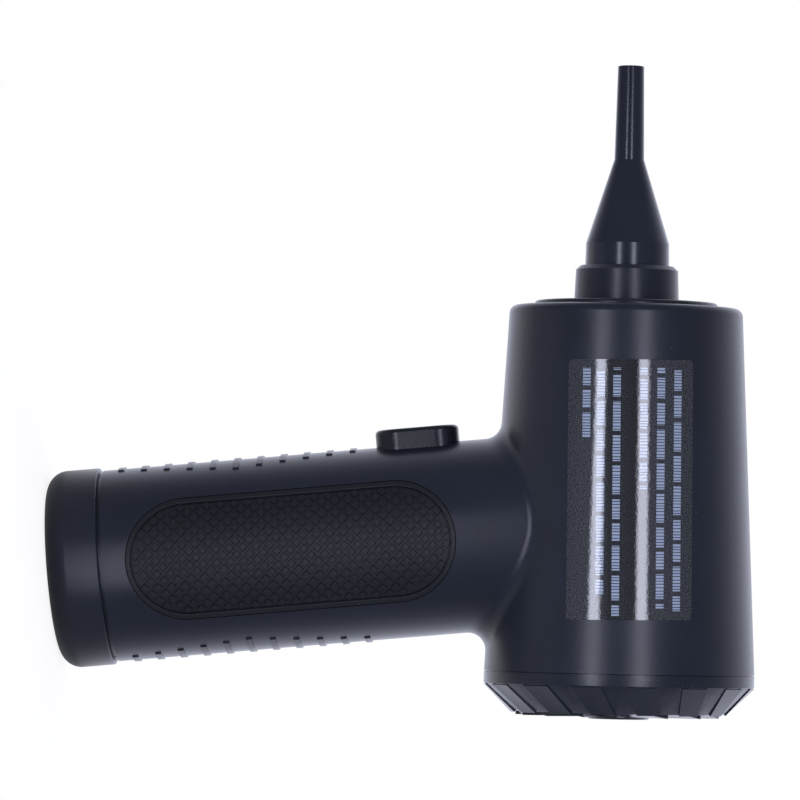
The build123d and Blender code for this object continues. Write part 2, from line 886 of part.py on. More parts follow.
def diffuser():
    """Vaned ring around the motor, with the plate and sleeve that carry it."""
    ring = sleeve(duct_radius, duct_radius - duct_wall, shroud_front, diffuser_front)
    hub_inner = motor_radius + damper_thickness
    hub_outer = hub_inner + duct_wall
    hub = sleeve(hub_outer, hub_inner, shroud_front, shroud_front + diffuser_hub_length)
    plate = rod(hub_outer, shroud_front, shroud_front + diffuser_plate)
    vanes = skewed_plates(
        vane_count, vane_thickness, vane_skew, 2 * duct_radius,
        shroud_front + diffuser_plate, shroud_front + diffuser_plate + vane_length,
    )
    band = sleeve(duct_radius - duct_wall / 2, hub_inner + duct_wall / 2, shroud_front, diffuser_front)
    body = ring + [hub, plate] + [vane & band for vane in vanes]
    body = body - rod(shaft_radius + shaft_hole_gap, shroud_front, shroud_front + diffuser_plate)
    at = (motor_screw_circle, 0)
    hole = rod(screw_radius, shroud_front, shroud_front + diffuser_plate, at)
    holes = around(motor_screw_count, hole)
    slot_front = diffuser_front - lead_slot_setback + lead_slot_length
    lead_slot = block(
        (motor_radius, -lead_slot_width / 2, diffuser_front - lead_slot_setback),
        (2 * duct_radius, lead_slot_width / 2, slot_front),
    )
    return body - holes - [lead_slot]


def outlet_cone():
    """Cone that gathers the air behind the collar, with its front flange."""
    inner = duct_radius - duct_wall
    mouth = nozzle_plug_radius - nozzle_wall
    cone_end = cone_front - flange_thickness
    cone = turned(
        [
            (duct_radius, diffuser_front),
            (inner, diffuser_front),
            (inner, diffuser_front + outlet_cone_start),
            (mouth, cone_end),
            (mouth, cone_front),
            (mouth + 2 * duct_wall, cone_front),
            (mouth + 2 * duct_wall, cone_end - duct_wall),
            (duct_radius, diffuser_front + outlet_cone_start),
        ]
    )
    return cone + ring_in_barrel(mouth + duct_wall, cone_end, cone_front)


def front_gasket():
    """Seal between the outlet cone and the collar."""
    return sleeve(front_gasket_radius, nozzle_plug_radius - nozzle_wall, cone_front, collar_rear)


# ------------------------------------------------------------------ impeller and motor

bell_rear = shroud_front + diffuser_plate
can_rear = bell_rear + motor_bell_thickness
can_inner_front = can_rear + motor_inner_length
can_front = can_inner_front + motor_front_wall
core_rear = can_rear + (motor_inner_length - stator_length) / 2
core_front = core_rear + stator_length
impeller_front = shroud_front - impeller_back_gap
impeller_rear = impeller_front - impeller_length
shaft_rear = impeller_rear - nut_height - shaft_hole_gap


def impeller():
    """Mixed-flow wheel: a flared hub and back disc with leaning blades."""
    throat, wide = shroud_lines()
    lean = atan2(wide[0] - throat[0], wide[1] - throat[1])
    out = impeller_gap * cos(lean)
    along = impeller_gap * sin(lean)
    rim = wide[0] - impeller_gap
    disc_rear = impeller_front - impeller_disc
    hub_line = [(impeller_hub_radius, impeller_rear)]
    for way_out, way_back in impeller_hub_steps:
        step_radius = impeller_hub_radius + way_out * (rim - impeller_hub_radius)
        hub_line.append((step_radius, impeller_front - way_back * impeller_length))
    hub_line.append((rim, disc_rear))
    hub = turned([(0, impeller_rear)] + hub_line + [(rim, impeller_front), (0, impeller_front)])
    tip_rear = (throat[0] - out, max(throat[1] + along, impeller_rear))
    tip_front = (rim, wide[1] + along)
    inward = impeller_disc / 2
    root_line = [(r - inward, z + inward / 2) for r, z in hub_line[:-1]] + [(rim, disc_rear)]
    swept = turned(root_line + [tip_front, tip_rear, (impeller_hub_radius - inward, tip_rear[1])])
    blades = skewed_plates(
        blade_count, blade_thickness, blade_skew, 2 * rim, impeller_rear - impeller_length, impeller_front
    )
    wheel = hub + [blade & swept for blade in blades]
    return wheel - rod(shaft_radius, impeller_rear - impeller_length, impeller_front)


def impeller_nut():
    """Hexagon nut that holds the impeller on the shaft."""
    nut = extrude(RegularPolygon(nut_width / 2, 6, major_radius=False), nut_height)
    nut = Pos(0, 0, impeller_rear - nut_height) * nut
    return nut - rod(shaft_radius, impeller_rear - nut_height, impeller_rear)


def motor_shaft():
    """Shaft through the impeller, the rotor and both bearings."""
    return rod(shaft_radius, shaft_rear, can_front - shaft_hole_gap)


def motor_rotor():
    """Magnet core on the shaft."""
    core = sleeve(rotor_radius, shaft_radius, core_rear, core_front)
    return chamfer(core.edges().filter_by(GeomType.CIRCLE).sort_by(SortBy.RADIUS)[-2:], rotor_chamfer)


def stator_bounds():
    """Inner radius of the teeth, inner radius of the yoke and outer radius of the stator."""
    outer = motor_radius - motor_wall
    return rotor_radius + air_gap, outer - stator_yoke, outer


def motor_stator():
    """Ring of steel laminations with inward teeth."""
    tip, yoke, outer = stator_bounds()
    core = sleeve(outer - fit_gap, yoke, core_rear, core_front)
    middle = yoke + stator_yoke / 2
    tooth = block((0, -tooth_width / 2, core_rear), (middle, tooth_width / 2, core_front))
    return core + around(tooth_count, tooth) - rod(tip, core_rear, core_front)


def motor_windings():
    """One coil of copper wire around each tooth."""
    tip, yoke, _ = stator_bounds()
    inner = tip + coil_clearance
    half = tooth_width / 2 + coil_thickness
    outer = sqrt((yoke - fit_gap) ** 2 - half**2)
    low = core_rear - coil_thickness
    high = core_front + coil_thickness
    coil = block((inner, -half, low), (outer, half, high))
    play = tooth_width / 2 + fit_gap
    coil = coil - block((0, -play, core_rear - fit_gap), (yoke, play, core_front + fit_gap))
    return around(tooth_count, coil)


def motor_housing():
    """Can around the stator, with the front bearing's pocket."""
    can = rod(motor_radius, can_rear, can_front) - rod(motor_radius - motor_wall, can_rear, can_inner_front)
    pocket = rod(bearing_radius, can_inner_front, can_inner_front + bearing_length)
    return can - pocket - rod(shaft_radius + shaft_hole_gap, can_inner_front, can_front)


def motor_end_bell():
    """Cover that closes the can towards the impeller, with the rear bearing's pocket."""
    bell = rod(motor_radius, bell_rear, can_rear)
    pocket = rod(bearing_radius, can_rear - bearing_length, can_rear)
    bell = bell - pocket - rod(shaft_radius + shaft_hole_gap, bell_rear, can_rear)
    hole = rod(screw_radius, bell_rear, can_rear - fit_gap, (motor_screw_circle, 0))
    return bell - around(motor_screw_count, hole)


def motor_screws():
    """Screws through the diffuser's plate into the end bell."""
    at = (motor_screw_circle, 0)
    shank = rod(screw_radius, shroud_front, can_rear - motor_wall, at)
    head = rod(screw_head_radius, shroud_front - motor_screw_head_height, shroud_front, at)
    return around(motor_screw_count, shank + head)


def bearing(rear):
    """Ball bearing with shields, drawn as its closed ring."""
    return sleeve(bearing_radius, shaft_radius + shaft_gap, rear, rear + bearing_length)


def motor_dampers():
    """Two rubber rings between the motor and the sleeve around it."""
    hub_inner = motor_radius + damper_thickness
    rear = bell_rear + damper_setback
    front = shroud_front + diffuser_hub_length - damper_setback - 2 * damper_length
    return [sleeve(hub_inner, motor_radius, low, low + damper_length) for low in (rear, front)]


def motor_leads():
    """Three phase leads from the control board up through the diffuser's slot to the motor."""
    rise = barrel_axis_height - control_board_top - wire_gap
    c, _, s = forward
    start = (motor_lead_start * s + rise * c, motor_lead_start * c - rise * s)
    end_along = diffuser_front - lead_slot_setback + lead_slot_length / 2
    outside = (duct_radius + barrel_radius(end_along, shell_wall)) / 2
    route = [
        start,
        (outside + motor_lead_bow_out, (start[1] + end_along) / 2 - motor_lead_bow_back),
        (outside - motor_lead_wall_offset, end_along),
        (motor_radius + fit_gap, end_along),
    ]
    radii = []
    for a, b, d in zip(route, route[1:], route[2:]):
        before = hypot(b[0] - a[0], b[1] - a[1])
        after = hypot(d[0] - b[0], d[1] - b[1])
        turn = atan2(d[1] - b[1], d[0] - b[0]) - atan2(b[1] - a[1], b[0] - a[0])
        radii.append(motor_lead_bend_share * min(before, after) / abs(tan(turn / 2)))
    spacing = lead_slot_width / 3
    return [
        wire([(x, y, z) for x, z in route], thin_wire_radius, radii) for y in (-spacing, 0, spacing)
    ]


# ------------------------------------------------------------------ collar and nozzle

def outlet_collar():
    """Round collar at the nose: flange inside, raised ring and socket outside."""
    socket = nozzle_plug_radius + socket_gap
    mouth = nozzle_plug_radius - nozzle_wall
    body = turned(
        [
            (mouth, collar_rear),
            (collar_flange_radius, collar_rear),
            (collar_flange_radius, collar_flange_front),
            (collar_neck_radius, collar_flange_front),
            (collar_neck_radius, barrel_front_reach),
            (collar_ring_radius, barrel_front_reach),
            (collar_ring_radius, collar_ring_front),
            (collar_radius, collar_ring_front),
            (collar_tip_radius, collar_front),
            (socket, collar_front),
            (socket, socket_floor),
            (mouth, socket_floor),
        ]
    )
    ring_edges = circles_of(body, collar_ring_radius)
    body = fillet(ring_edges.sort_by(Axis.Z)[-1], collar_ring_fillet)
    return chamfer(circles_of(body, collar_tip_radius), collar_chamfer)


nozzle_rear = socket_floor + fit_gap
nozzle_cone_start = collar_front + nozzle_base_length
nozzle_tube_start = nozzle_cone_start + nozzle_cone_length
nozzle_front = nozzle_tube_start + nozzle_tube_length
seal_at = nozzle_rear + seal_setback
seal_circle = nozzle_plug_radius + socket_gap - fit_gap - seal_radius


def nozzle():
    """Push-in nozzle: plug, base, cone and thin tube, bored right through."""
    groove_floor = seal_circle - seal_radius - fit_gap
    half = seal_radius + seal_groove_play
    wide_bore = nozzle_plug_radius - nozzle_wall
    body = turned(
        [
            (wide_bore, nozzle_rear),
            (nozzle_plug_radius, nozzle_rear),
            (nozzle_plug_radius, seal_at - half),
            (groove_floor, seal_at - half),
            (groove_floor, seal_at + half),
            (nozzle_plug_radius, seal_at + half),
            (nozzle_plug_radius, collar_front),
            (nozzle_base_radius, nozzle_cone_start),
            (nozzle_cone_tip_radius, nozzle_tube_start),
            (nozzle_tube_radius, nozzle_tube_start),
            (nozzle_tip_radius, nozzle_front),
            (nozzle_bore_radius, nozzle_front),
            (nozzle_bore_radius, nozzle_tube_start),
            (wide_bore, nozzle_cone_start - nozzle_wall),
        ]
    )
    body = fillet(circles_of(body, nozzle_base_radius), nozzle_base_fillet)
    return fillet(circles_of(body, nozzle_tip_radius), nozzle_rim_fillet)


def nozzle_seal():
    """O-ring in the nozzle's groove."""
    return Pos(0, 0, seal_at) * Torus(seal_circle, seal_radius)


# ------------------------------------------------------------------ intake cover and filter

cover_front = seam_at - cover_gap
cover_ring_rear = cover_front - cover_ring_length
cover_rear = cover_ring_rear - cover_chamfer
cover_rear_radius = barrel_rear_radius - cover_chamfer
spigot_front = cover_front + cover_spigot_length
filter_radius = cover_spigot_radius - cover_spigot_wall - filter_gap
louvre_inside = cover_rear - louvre_proud + louvre_rise + louvre_thickness


def cover_facet():
    """One raised facet on the cover's chamfer, swept round towards its inner end."""
    depth = cover_recess_end + cover_facet_root
    half = cover_facet_turn / 2
    corners = []
    for radius, height, turn in (
        (barrel_rear_radius, cover_ring_rear, 0),
        (cover_rear_radius, cover_rear, cover_facet_sweep),
    ):
        corners.append(
            [
                polar(radius, turn - half, height),
                polar(radius, turn + half, height),
                polar(radius - depth, turn + half, height + depth),
                polar(radius - depth, turn - half, height + depth),
            ]
        )
    return four_sided(corners[0], corners[1])


def cover_louvre():
    """One slanted blade from the hub to the rim; its leading edge stands proud."""
    proud = cover_rear - louvre_proud
    low_edge = proud + louvre_rise
    ends = []
    for radius, turn in (
        (cover_hub_radius - louvre_thickness, 0),
        (cover_rear_radius - cover_rim_width / 2, louvre_sweep),
    ):
        a, b = turn - louvre_turn / 2, turn + louvre_turn / 2
        ends.append(
            [
                polar(radius, a, low_edge),
                polar(radius, b, proud),
                polar(radius, b, proud + louvre_thickness),
                polar(radius, a, low_edge + louvre_thickness),
            ]
        )
    return four_sided(ends[0], ends[1])


def intake_cover():
    """Twist-off cover: ring with a land against the shells, facets, blades, hub, spigot and lugs."""
    inner = cover_spigot_radius - cover_spigot_wall
    land_radius = barrel_rear_radius - cover_land_inset
    recess_r = cover_rear_radius - cover_recess_end / 2
    recess_z = cover_rear + cover_recess_end / 2
    rim_inner = cover_rear_radius - cover_rim_width
    ring = turned(
        [
            (inner, spigot_front),
            (cover_spigot_radius, spigot_front),
            (cover_spigot_radius, seam_at - fit_gap),
            (land_radius, seam_at - fit_gap),
            (land_radius, cover_front),
            (barrel_rear_radius, cover_front),
            (barrel_rear_radius, cover_ring_rear + cover_recess_start),
            (recess_r, recess_z),
            (rim_inner, recess_z),
            (rim_inner, louvre_inside),
            (inner, louvre_inside),
        ]
    )
    hub = rod(cover_hub_radius, louvre_inside - cover_hub_thickness - louvre_proud, louvre_inside)
    hub = chamfer(hub.edges().group_by(Axis.Z)[0], cover_hub_chamfer)
    lug_rear = seam_at + lug_setback
    lug_outer = cover_spigot_radius + lug_height
    embedded = cover_spigot_radius - cover_spigot_wall / 2
    lug = turned(
        [
            (embedded, lug_rear),
            (lug_outer, lug_rear),
            (lug_outer, lug_rear + lug_length),
            (embedded, lug_rear + lug_length),
        ],
        lug_turn,
        -lug_turn / 2,
    )
    first = Rot(0, 0, 90 - cover_first_facet)
    blades = around(cover_facets, cover_facet()) + around(cover_facets, cover_louvre())
    blades = [first * blade for blade in blades]
    return ring + [hub] + blades + around(lug_count, lug)


def filter_pieces():
    """Wire mesh behind the blades, foam disc and the frame that holds them."""
    mesh_rear = louvre_inside + fit_gap
    mesh_front = mesh_rear + filter_mesh_thickness
    foam_front = mesh_front + filter_foam_thickness
    mesh = rod(filter_radius, mesh_rear, mesh_front)
    foam = rod(filter_radius, mesh_front, foam_front)
    frame = sleeve(
        cover_spigot_radius - cover_spigot_wall - fit_gap,
        filter_radius - filter_frame_width,
        foam_front,
        foam_front + filter_frame_thickness,
    )
    return mesh, foam, frame


# ------------------------------------------------------------------ pads and label

def grip_pads():
    """Left and right inlaid pads that follow the grip's roundness."""
    skin = rod(grip_radius + pad_proud, grip_bottom, barrel_axis_height)
    skin = skin - rod(grip_radius - pad_thickness, grip_bottom, barrel_axis_height)
    both = skin & pad_outline()
    sides = both.solids().sort_by(Axis.Y)
    return sides[-1], sides[0]


def label_film():
    """Clear film on the barrel's left flank."""
    front = barrel_front_reach - label_nose_setback
    rear = front - label_length
    play = label_width * sin(radians(label_skew))
    outer, inner = [
        barrel_ring(0, rear - play, front + play, -out) for out in (label_gap + label_thickness, label_gap)
    ]
    plan = Plane.XZ * RectangleRounded(label_width, label_length, label_corner)
    outline = Rot(0, label_skew, 0) * extrude(plan, -2 * barrel_rear_radius)
    return (outer - inner) & Pos(-label_rise, 0, (rear + front) / 2) * outline


# ------------------------------------------------------------------ the whole blower

def build():
    """Every node's name and its solids."""
    left, right = shell_halves()
    lower_strip, upper_strip = nickel_strips()
    negative, positive = battery_leads()
    mesh, foam, frame = filter_pieces()
    left_pad, right_pad = grip_pads()
    upright = {
        "left_shell": left,
        "right_shell": right,
        "shell_screws": at_screws(shell_screw()),
        "end_cap": end_cap(),
        "end_cap_screws": cap_screws(),
        "usb_socket": usb_socket(),
        "usb_insert": usb_insert(),
        "charge_board": charge_board(),
        "charge_led": charge_led(),
        "light_pipe": light_pipe(),
        "charge_leads": charge_leads(),
        "battery_holder_lower": lower_holder(),
        "battery_holder_upper": upper_holder(),
        "nickel_strip_lower": lower_strip,
        "nickel_strip_upper": upper_strip,
        "battery_lead_negative": negative,
        "battery_lead_positive": positive,
        "power_button": power_button(),
        "switch_plunger": switch_plunger(),
        "tact_switch": tact_switch(),
        "switch_board": switch_board(),
        "board_header": board_header(),
        "control_board": control_board(),
        "bus_capacitor": bus_capacitor(),
        "driver_chips": driver_chips(),
        "grip_pad_left": left_pad,
        "grip_pad_right": right_pad,
    }
    for number, at in enumerate(cell_places, 1):
        upright[f"battery_cell_{number}"] = battery_cell(at)
    along_barrel = {
        "bayonet_ring": bayonet_ring(),
        "rear_gasket": rear_gasket(),
        "fan_shroud": fan_shroud(),
        "diffuser": diffuser(),
        "outlet_cone": outlet_cone(),
        "front_gasket": front_gasket(),
        "impeller": impeller(),
        "impeller_nut": impeller_nut(),
        "motor_shaft": motor_shaft(),
        "motor_rotor": motor_rotor(),
        "motor_stator": motor_stator(),
        "motor_windings": motor_windings(),
        "motor_housing": motor_housing(),
        "motor_end_bell": motor_end_bell(),
        "motor_screws": motor_screws(),
        "rear_bearing": bearing(can_rear - bearing_length),
        "front_bearing": bearing(can_inner_front),
        "motor_dampers": motor_dampers(),
        "motor_leads": motor_leads(),
        "outlet_collar": outlet_collar(),
        "nozzle": nozzle(),
        "nozzle_seal": nozzle_seal(),
        "intake_cover": intake_cover(),
        "filter_mesh": mesh,
        "filter_foam": foam,
        "filter_frame": frame,
        "label_film": label_film(),
    }
    placed = {name: placed_on_barrel(piece) for name, piece in along_barrel.items()}
    return upright | placed


def placed_on_barrel(piece):
    """A piece or a list of pieces moved from local Z to the barrel's axis."""
    if isinstance(piece, (list, tuple)):
        return [barrel_frame * one for one in piece]
    return barrel_frame * piece


def as_one(piece):
    """A list of separate solids as one compound, or the piece itself."""
    if isinstance(piece, (list, tuple)):
        return Compound(children=[solid for one in piece for solid in one.solids()])
    return piece


os.makedirs("parts", exist_ok=True)
for name, piece in build().items():
    export_step(as_one(piece), f"parts/{name}.step")
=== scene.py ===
import json
import logging
import math
from dataclasses import dataclass, field
from enum import Enum
from typing import ClassVar

import bmesh
import bpy
from mathutils import Matrix, Vector, noise


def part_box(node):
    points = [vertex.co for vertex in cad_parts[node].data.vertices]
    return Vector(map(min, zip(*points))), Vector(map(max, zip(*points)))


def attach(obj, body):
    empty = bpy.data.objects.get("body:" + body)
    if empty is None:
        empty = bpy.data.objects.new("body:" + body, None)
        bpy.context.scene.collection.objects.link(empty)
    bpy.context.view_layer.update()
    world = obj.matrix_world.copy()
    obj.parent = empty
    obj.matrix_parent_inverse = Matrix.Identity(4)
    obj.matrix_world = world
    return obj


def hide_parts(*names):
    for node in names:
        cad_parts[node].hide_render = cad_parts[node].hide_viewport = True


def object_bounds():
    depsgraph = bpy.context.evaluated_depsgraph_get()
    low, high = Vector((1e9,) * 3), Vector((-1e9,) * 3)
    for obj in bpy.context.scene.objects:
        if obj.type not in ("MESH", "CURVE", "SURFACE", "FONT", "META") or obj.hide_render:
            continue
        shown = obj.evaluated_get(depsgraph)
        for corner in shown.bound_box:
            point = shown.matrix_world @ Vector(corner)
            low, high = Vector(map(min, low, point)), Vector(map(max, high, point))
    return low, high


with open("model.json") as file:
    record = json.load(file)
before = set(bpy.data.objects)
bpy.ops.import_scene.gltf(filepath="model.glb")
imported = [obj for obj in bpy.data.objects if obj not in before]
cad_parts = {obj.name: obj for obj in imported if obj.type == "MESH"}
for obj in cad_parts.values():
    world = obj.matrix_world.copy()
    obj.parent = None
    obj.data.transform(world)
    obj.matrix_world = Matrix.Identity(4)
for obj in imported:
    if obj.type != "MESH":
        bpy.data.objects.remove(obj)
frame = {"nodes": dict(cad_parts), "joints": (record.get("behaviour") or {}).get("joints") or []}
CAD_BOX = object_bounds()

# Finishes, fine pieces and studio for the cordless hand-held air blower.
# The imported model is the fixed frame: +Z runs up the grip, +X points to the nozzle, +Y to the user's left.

MM = 0.001
DAYLIGHT = "#E9ECFF"
LOG = logging.getLogger("air_blower")
Tree = bpy.types.NodeTree
Node = bpy.types.Node
Socket = bpy.types.NodeSocket
Colour = tuple[float, float, float, float]


class Body(str, Enum):
    """The bodies that carry the new pieces."""

    HOUSING = "housing"
    COVER = "cover"


class Working(Enum):
    """How a metal's surface was made, as the stretch of its fine marks along X, Y and Z."""

    TURNED = (1.0, 1.0, 12.0)
    DRAWN = (6.0, 6.0, 0.4)
    COATED = (1.0, 1.0, 1.0)


# ---------------------------------------------------------------- shared helpers


def linear(code: str) -> Colour:
    """Turn an sRGB hex colour into linear light.

    Args:
        code: Six hex digits with a leading hash.

    Returns:
        Red, green and blue, and an alpha of 1.
    """
    parts = [int(code[i : i + 2], 16) / 255 for i in (1, 3, 5)]
    lit = [p / 12.92 if p <= 0.04045 else ((p + 0.055) / 1.055) ** 2.4 for p in parts]
    return (lit[0], lit[1], lit[2], 1.0)


def add_node(
    tree: Tree, kind: str, inputs: dict | None = None, stops: tuple | list = (), **settings: str | bool
) -> Node:
    """Add one shader node with its settings, values and links.

    Args:
        tree: Node tree that gets the node.
        kind: Blender's name for the node type, after ShaderNode.
        inputs: Values, hex colours, sockets, or nodes whose first output is meant, by name or number.
        stops: Places of a colour ramp, each with a hex colour or a level of grey.
        **settings: Properties set on the node itself.

    Returns:
        The new node.
    """
    made = tree.nodes.new("ShaderNode" + kind)
    for name, value in settings.items():
        setattr(made, name, value)
    for number, (place, colour) in enumerate(stops):
        elements = made.color_ramp.elements
        stop = elements[number] if number < len(elements) else elements.new(place)
        stop.position = place
        stop.color = linear(colour) if isinstance(colour, str) else (colour, colour, colour, 1.0)
    for name, value in (inputs or {}).items():
        if isinstance(value, Node):
            value = next(output for output in value.outputs if output.enabled)
        if isinstance(value, Socket):
            tree.links.new(value, made.inputs[name])
        else:
            made.inputs[name].default_value = linear(value) if isinstance(value, str) else value
    return made


def finished(
    bm: bmesh.types.BMesh, name: str, body: Body, finish: "Finish", smooth: float = 30.0, weld: float = 1e-7
) -> bpy.types.Object:
    """Turn a bmesh into a piece of the blower, with outward faces.

    Args:
        bm: The shape in metres, already in place; it is freed.
        name: Name of the piece.
        body: Body that the piece rides on.
        finish: Finish that it is dressed in.
        smooth: Angle in degrees under which neighbouring faces shade as one.
        weld: Distance in metres under which two points become one.

    Returns:
        The new object.
    """
    bmesh.ops.remove_doubles(bm, verts=bm.verts, dist=weld)
    bmesh.ops.recalc_face_normals(bm, faces=bm.faces)
    for face in bm.faces:
        face.smooth = True
    for edge in bm.edges:
        edge.smooth = len(edge.link_faces) == 2 and edge.calc_face_angle(0.0) < math.radians(smooth)
    mesh = bpy.data.meshes.new(name)
    bm.to_mesh(mesh)
    bm.free()
    piece = bpy.data.objects.new(name, mesh)
    bpy.context.scene.collection.objects.link(piece)
    piece.data.materials.append(finish.material())
    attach(piece, body.value)
    LOG.info("built %s, %d faces", name, len(mesh.polygons))
    return piece


# ---------------------------------------------------------------- finishes


@dataclass(frozen=True)
class Finish:
    """What every finish has: the record's slot and the material's plain name.

    The lengths in every finish are in millimetres.
    """

    slot: str
    title: str
    coordinates: ClassVar[str] = "Object"

    def surface(self, tree: Tree, place: Socket) -> dict[str, object]:
        """Build the pattern at a place and return the inputs of the shader."""
        raise NotImplementedError

    def material(self) -> bpy.types.Material:
        """Make the material on first use.

        Returns:
            The new material, or the one that was made before.
        """
        made = bpy.data.materials.get(self.title)
        if made is None:
            made = bpy.data.materials.new(self.title)
            made.use_nodes = True
            tree = made.node_tree
            tree.nodes.clear()
            place = add_node(tree, "TexCoord").outputs[self.coordinates]
            shader = add_node(tree, "BsdfPrincipled", self.surface(tree, place))
            add_node(tree, "OutputMaterial", {"Surface": shader})
        return made


@dataclass(frozen=True)
class MouldedPlastic(Finish):
    """Injection-moulded plastic or rubber: even colour, spark-eroded grain and a few flecks of dust.

    Grain and relief are the grain's width and depth, and cloud is the width of the faint changes of
    colour. Spread is how far the grain takes the roughness up and down. Fleck holds the radius where a
    fleck of dust begins and the one where it is full. Real grain and dust are about a tenth of a
    millimetre wide or less, and are drawn as coarse as they need to show.
    """

    colour: str
    shade: str
    roughness: float
    grain: float = 0.45
    relief: float = 0.004
    sheen: float = 0.0
    dust: bool = False
    spread: float = 0.04
    cloud: float = 14.0
    dust_colour: str = "#9A9EA6"
    dust_spacing: float = 5.5
    dust_cover: float = 0.8
    fleck: tuple = (0.121, 0.077)

    def surface(self, tree: Tree, place: Socket) -> dict[str, object]:
        """Build the shader: clouded colour, grain in the relief and in the gloss.

        Args:
            tree: Node tree of the material.
            place: Point on the piece.

        Returns:
            Inputs of the shader.
        """
        clouds = add_node(tree, "TexNoise", {"Vector": place, "Scale": 1 / (self.cloud * MM), "Detail": 3.0})
        grain = add_node(
            tree,
            "TexNoise",
            {"Vector": place, "Scale": 1 / (self.grain * MM), "Detail": 3.0, "Roughness": 0.65},
        )
        tint = add_node(tree, "ValToRGB", {"Fac": clouds}, stops=((0.35, self.shade), (0.65, self.colour)))
        if self.dust:
            tint = self.dusted(tree, place, tint)
        gloss = add_node(
            tree,
            "MapRange",
            {
                "Value": grain,
                "From Min": 0.3,
                "From Max": 0.7,
                "To Min": self.roughness - self.spread,
                "To Max": self.roughness + self.spread,
            },
        )
        relief = add_node(tree, "Bump", {"Height": grain, "Distance": self.relief * MM})
        return {"Base Color": tint, "Roughness": gloss, "Normal": relief, "Sheen Weight": self.sheen}

    def dusted(self, tree: Tree, place: Socket, tint: Node) -> Node:
        """Lay flecks of dust over the colour.

        Args:
            tree: Node tree of the material.
            place: Point on the piece.
            tint: Colour without the dust.

        Returns:
            Colour with the dust on it.
        """
        cells = add_node(tree, "TexVoronoi", {"Vector": place, "Scale": 1 / (self.dust_spacing * MM)})
        begins, full = (radius / self.dust_spacing for radius in self.fleck)
        cover = add_node(
            tree,
            "MapRange",
            {"Value": cells, "From Min": begins, "From Max": full, "To Max": self.dust_cover},
        )
        return add_node(tree, "Mix", {0: cover, 6: tint, 7: self.dust_colour}, data_type="RGBA")


@dataclass(frozen=True)
class WorkedMetal(Finish):
    """Bare, plated or blackened metal with the fine marks of how it was worked.

    Grain and relief are the marks' width and depth, drawn as coarse as they need to show. Spread is how
    far they take the roughness up and down.
    """

    colour: str
    shade: str
    roughness: float
    working: Working = Working.COATED
    grain: float = 0.3
    relief: float = 0.003
    spread: float = 0.08

    def surface(self, tree: Tree, place: Socket) -> dict[str, object]:
        """Build the shader: stretched marks change colour, gloss and relief.

        Args:
            tree: Node tree of the material.
            place: Point on the piece.

        Returns:
            Inputs of the shader.
        """
        scale = [s / (self.grain * MM) for s in self.working.value]
        laid = add_node(tree, "Mapping", {"Vector": place, "Scale": scale})
        marks = add_node(tree, "TexNoise", {"Vector": laid, "Scale": 1.0, "Detail": 2.0})
        tint = add_node(tree, "ValToRGB", {"Fac": marks}, stops=((0.3, self.shade), (0.7, self.colour)))
        gloss = add_node(
            tree,
            "MapRange",
            {"Value": marks, "To Min": self.roughness - self.spread, "To Max": self.roughness + self.spread},
        )
        relief = add_node(tree, "Bump", {"Height": marks, "Distance": self.relief * MM})
        return {"Base Color": tint, "Metallic": 1.0, "Roughness": gloss, "Normal": relief}


@dataclass(frozen=True)
class LayeredMetal(Finish):
    """Thin layers or turns of metal lying side by side, such as laminations and wound wire.

    Pitch is from one layer to the next, and relief is the depth of the gap between them.
    """

    colour: str
    gap: str
    pitch: float
    roughness: float
    metallic: float = 1.0
    relief: float = 0.1

    def surface(self, tree: Tree, place: Socket) -> dict[str, object]:
        """Build the shader: one dark line for each layer along the barrel's axis.

        Args:
            tree: Node tree of the material.
            place: Point on the piece.

        Returns:
            Inputs of the shader.
        """
        turned = add_node(tree, "Mapping", {"Vector": place, "Rotation": (0.0, Barrel.pitch(), 0.0)})
        # The node draws its bands at twenty radians to the unit
        scale = math.tau / (20 * self.pitch * MM)
        bands = add_node(tree, "TexWave", {"Vector": turned, "Scale": scale})
        # The dark colour between layers is their joint; between round wire turns it is painted shade
        tint = add_node(tree, "ValToRGB", {"Fac": bands}, stops=((0.15, self.gap), (0.45, self.colour)))
        relief = add_node(tree, "Bump", {"Height": bands, "Distance": self.relief * MM})
        return {"Base Color": tint, "Metallic": self.metallic, "Roughness": self.roughness, "Normal": relief}


@dataclass(frozen=True)
class SolderMask(Finish):
    """Glass-fibre board under green solder mask, with tracks and tinned pads.

    Pad holds the radius where a pad begins and the one where it is full.
    """

    mask: str = "#14452A"
    track: str = "#2C6A42"
    tin: str = "#B9BCBE"
    track_pitch: float = 3.2
    track_height: float = 0.04
    pad_pitch: float = 2.6
    pad: tuple = (0.52, 0.442)

    def surface(self, tree: Tree, place: Socket) -> dict[str, object]:
        """Build the shader: lighter tracks under the mask and small round pads.

        Args:
            tree: Node tree of the material.
            place: Point on the piece.

        Returns:
            Inputs of the shader.
        """
        tracks = add_node(
            tree,
            "TexVoronoi",
            {"Vector": place, "Scale": 1 / (self.track_pitch * MM)},
            feature="DISTANCE_TO_EDGE",
        )
        copper = add_node(tree, "ValToRGB", {"Fac": tracks}, stops=((0.06, self.mask), (0.11, self.track)))
        holes = add_node(tree, "TexVoronoi", {"Vector": place, "Scale": 1 / (self.pad_pitch * MM)})
        begins, full = (radius / self.pad_pitch for radius in self.pad)
        pads = add_node(tree, "MapRange", {"Value": holes, "From Min": begins, "From Max": full})
        tint = add_node(tree, "Mix", {0: pads, 6: copper, 7: self.tin}, data_type="RGBA")
        relief = add_node(tree, "Bump", {"Height": tracks, "Distance": self.track_height * MM})
        return {"Base Color": tint, "Metallic": pads, "Roughness": 0.32, "Normal": relief}


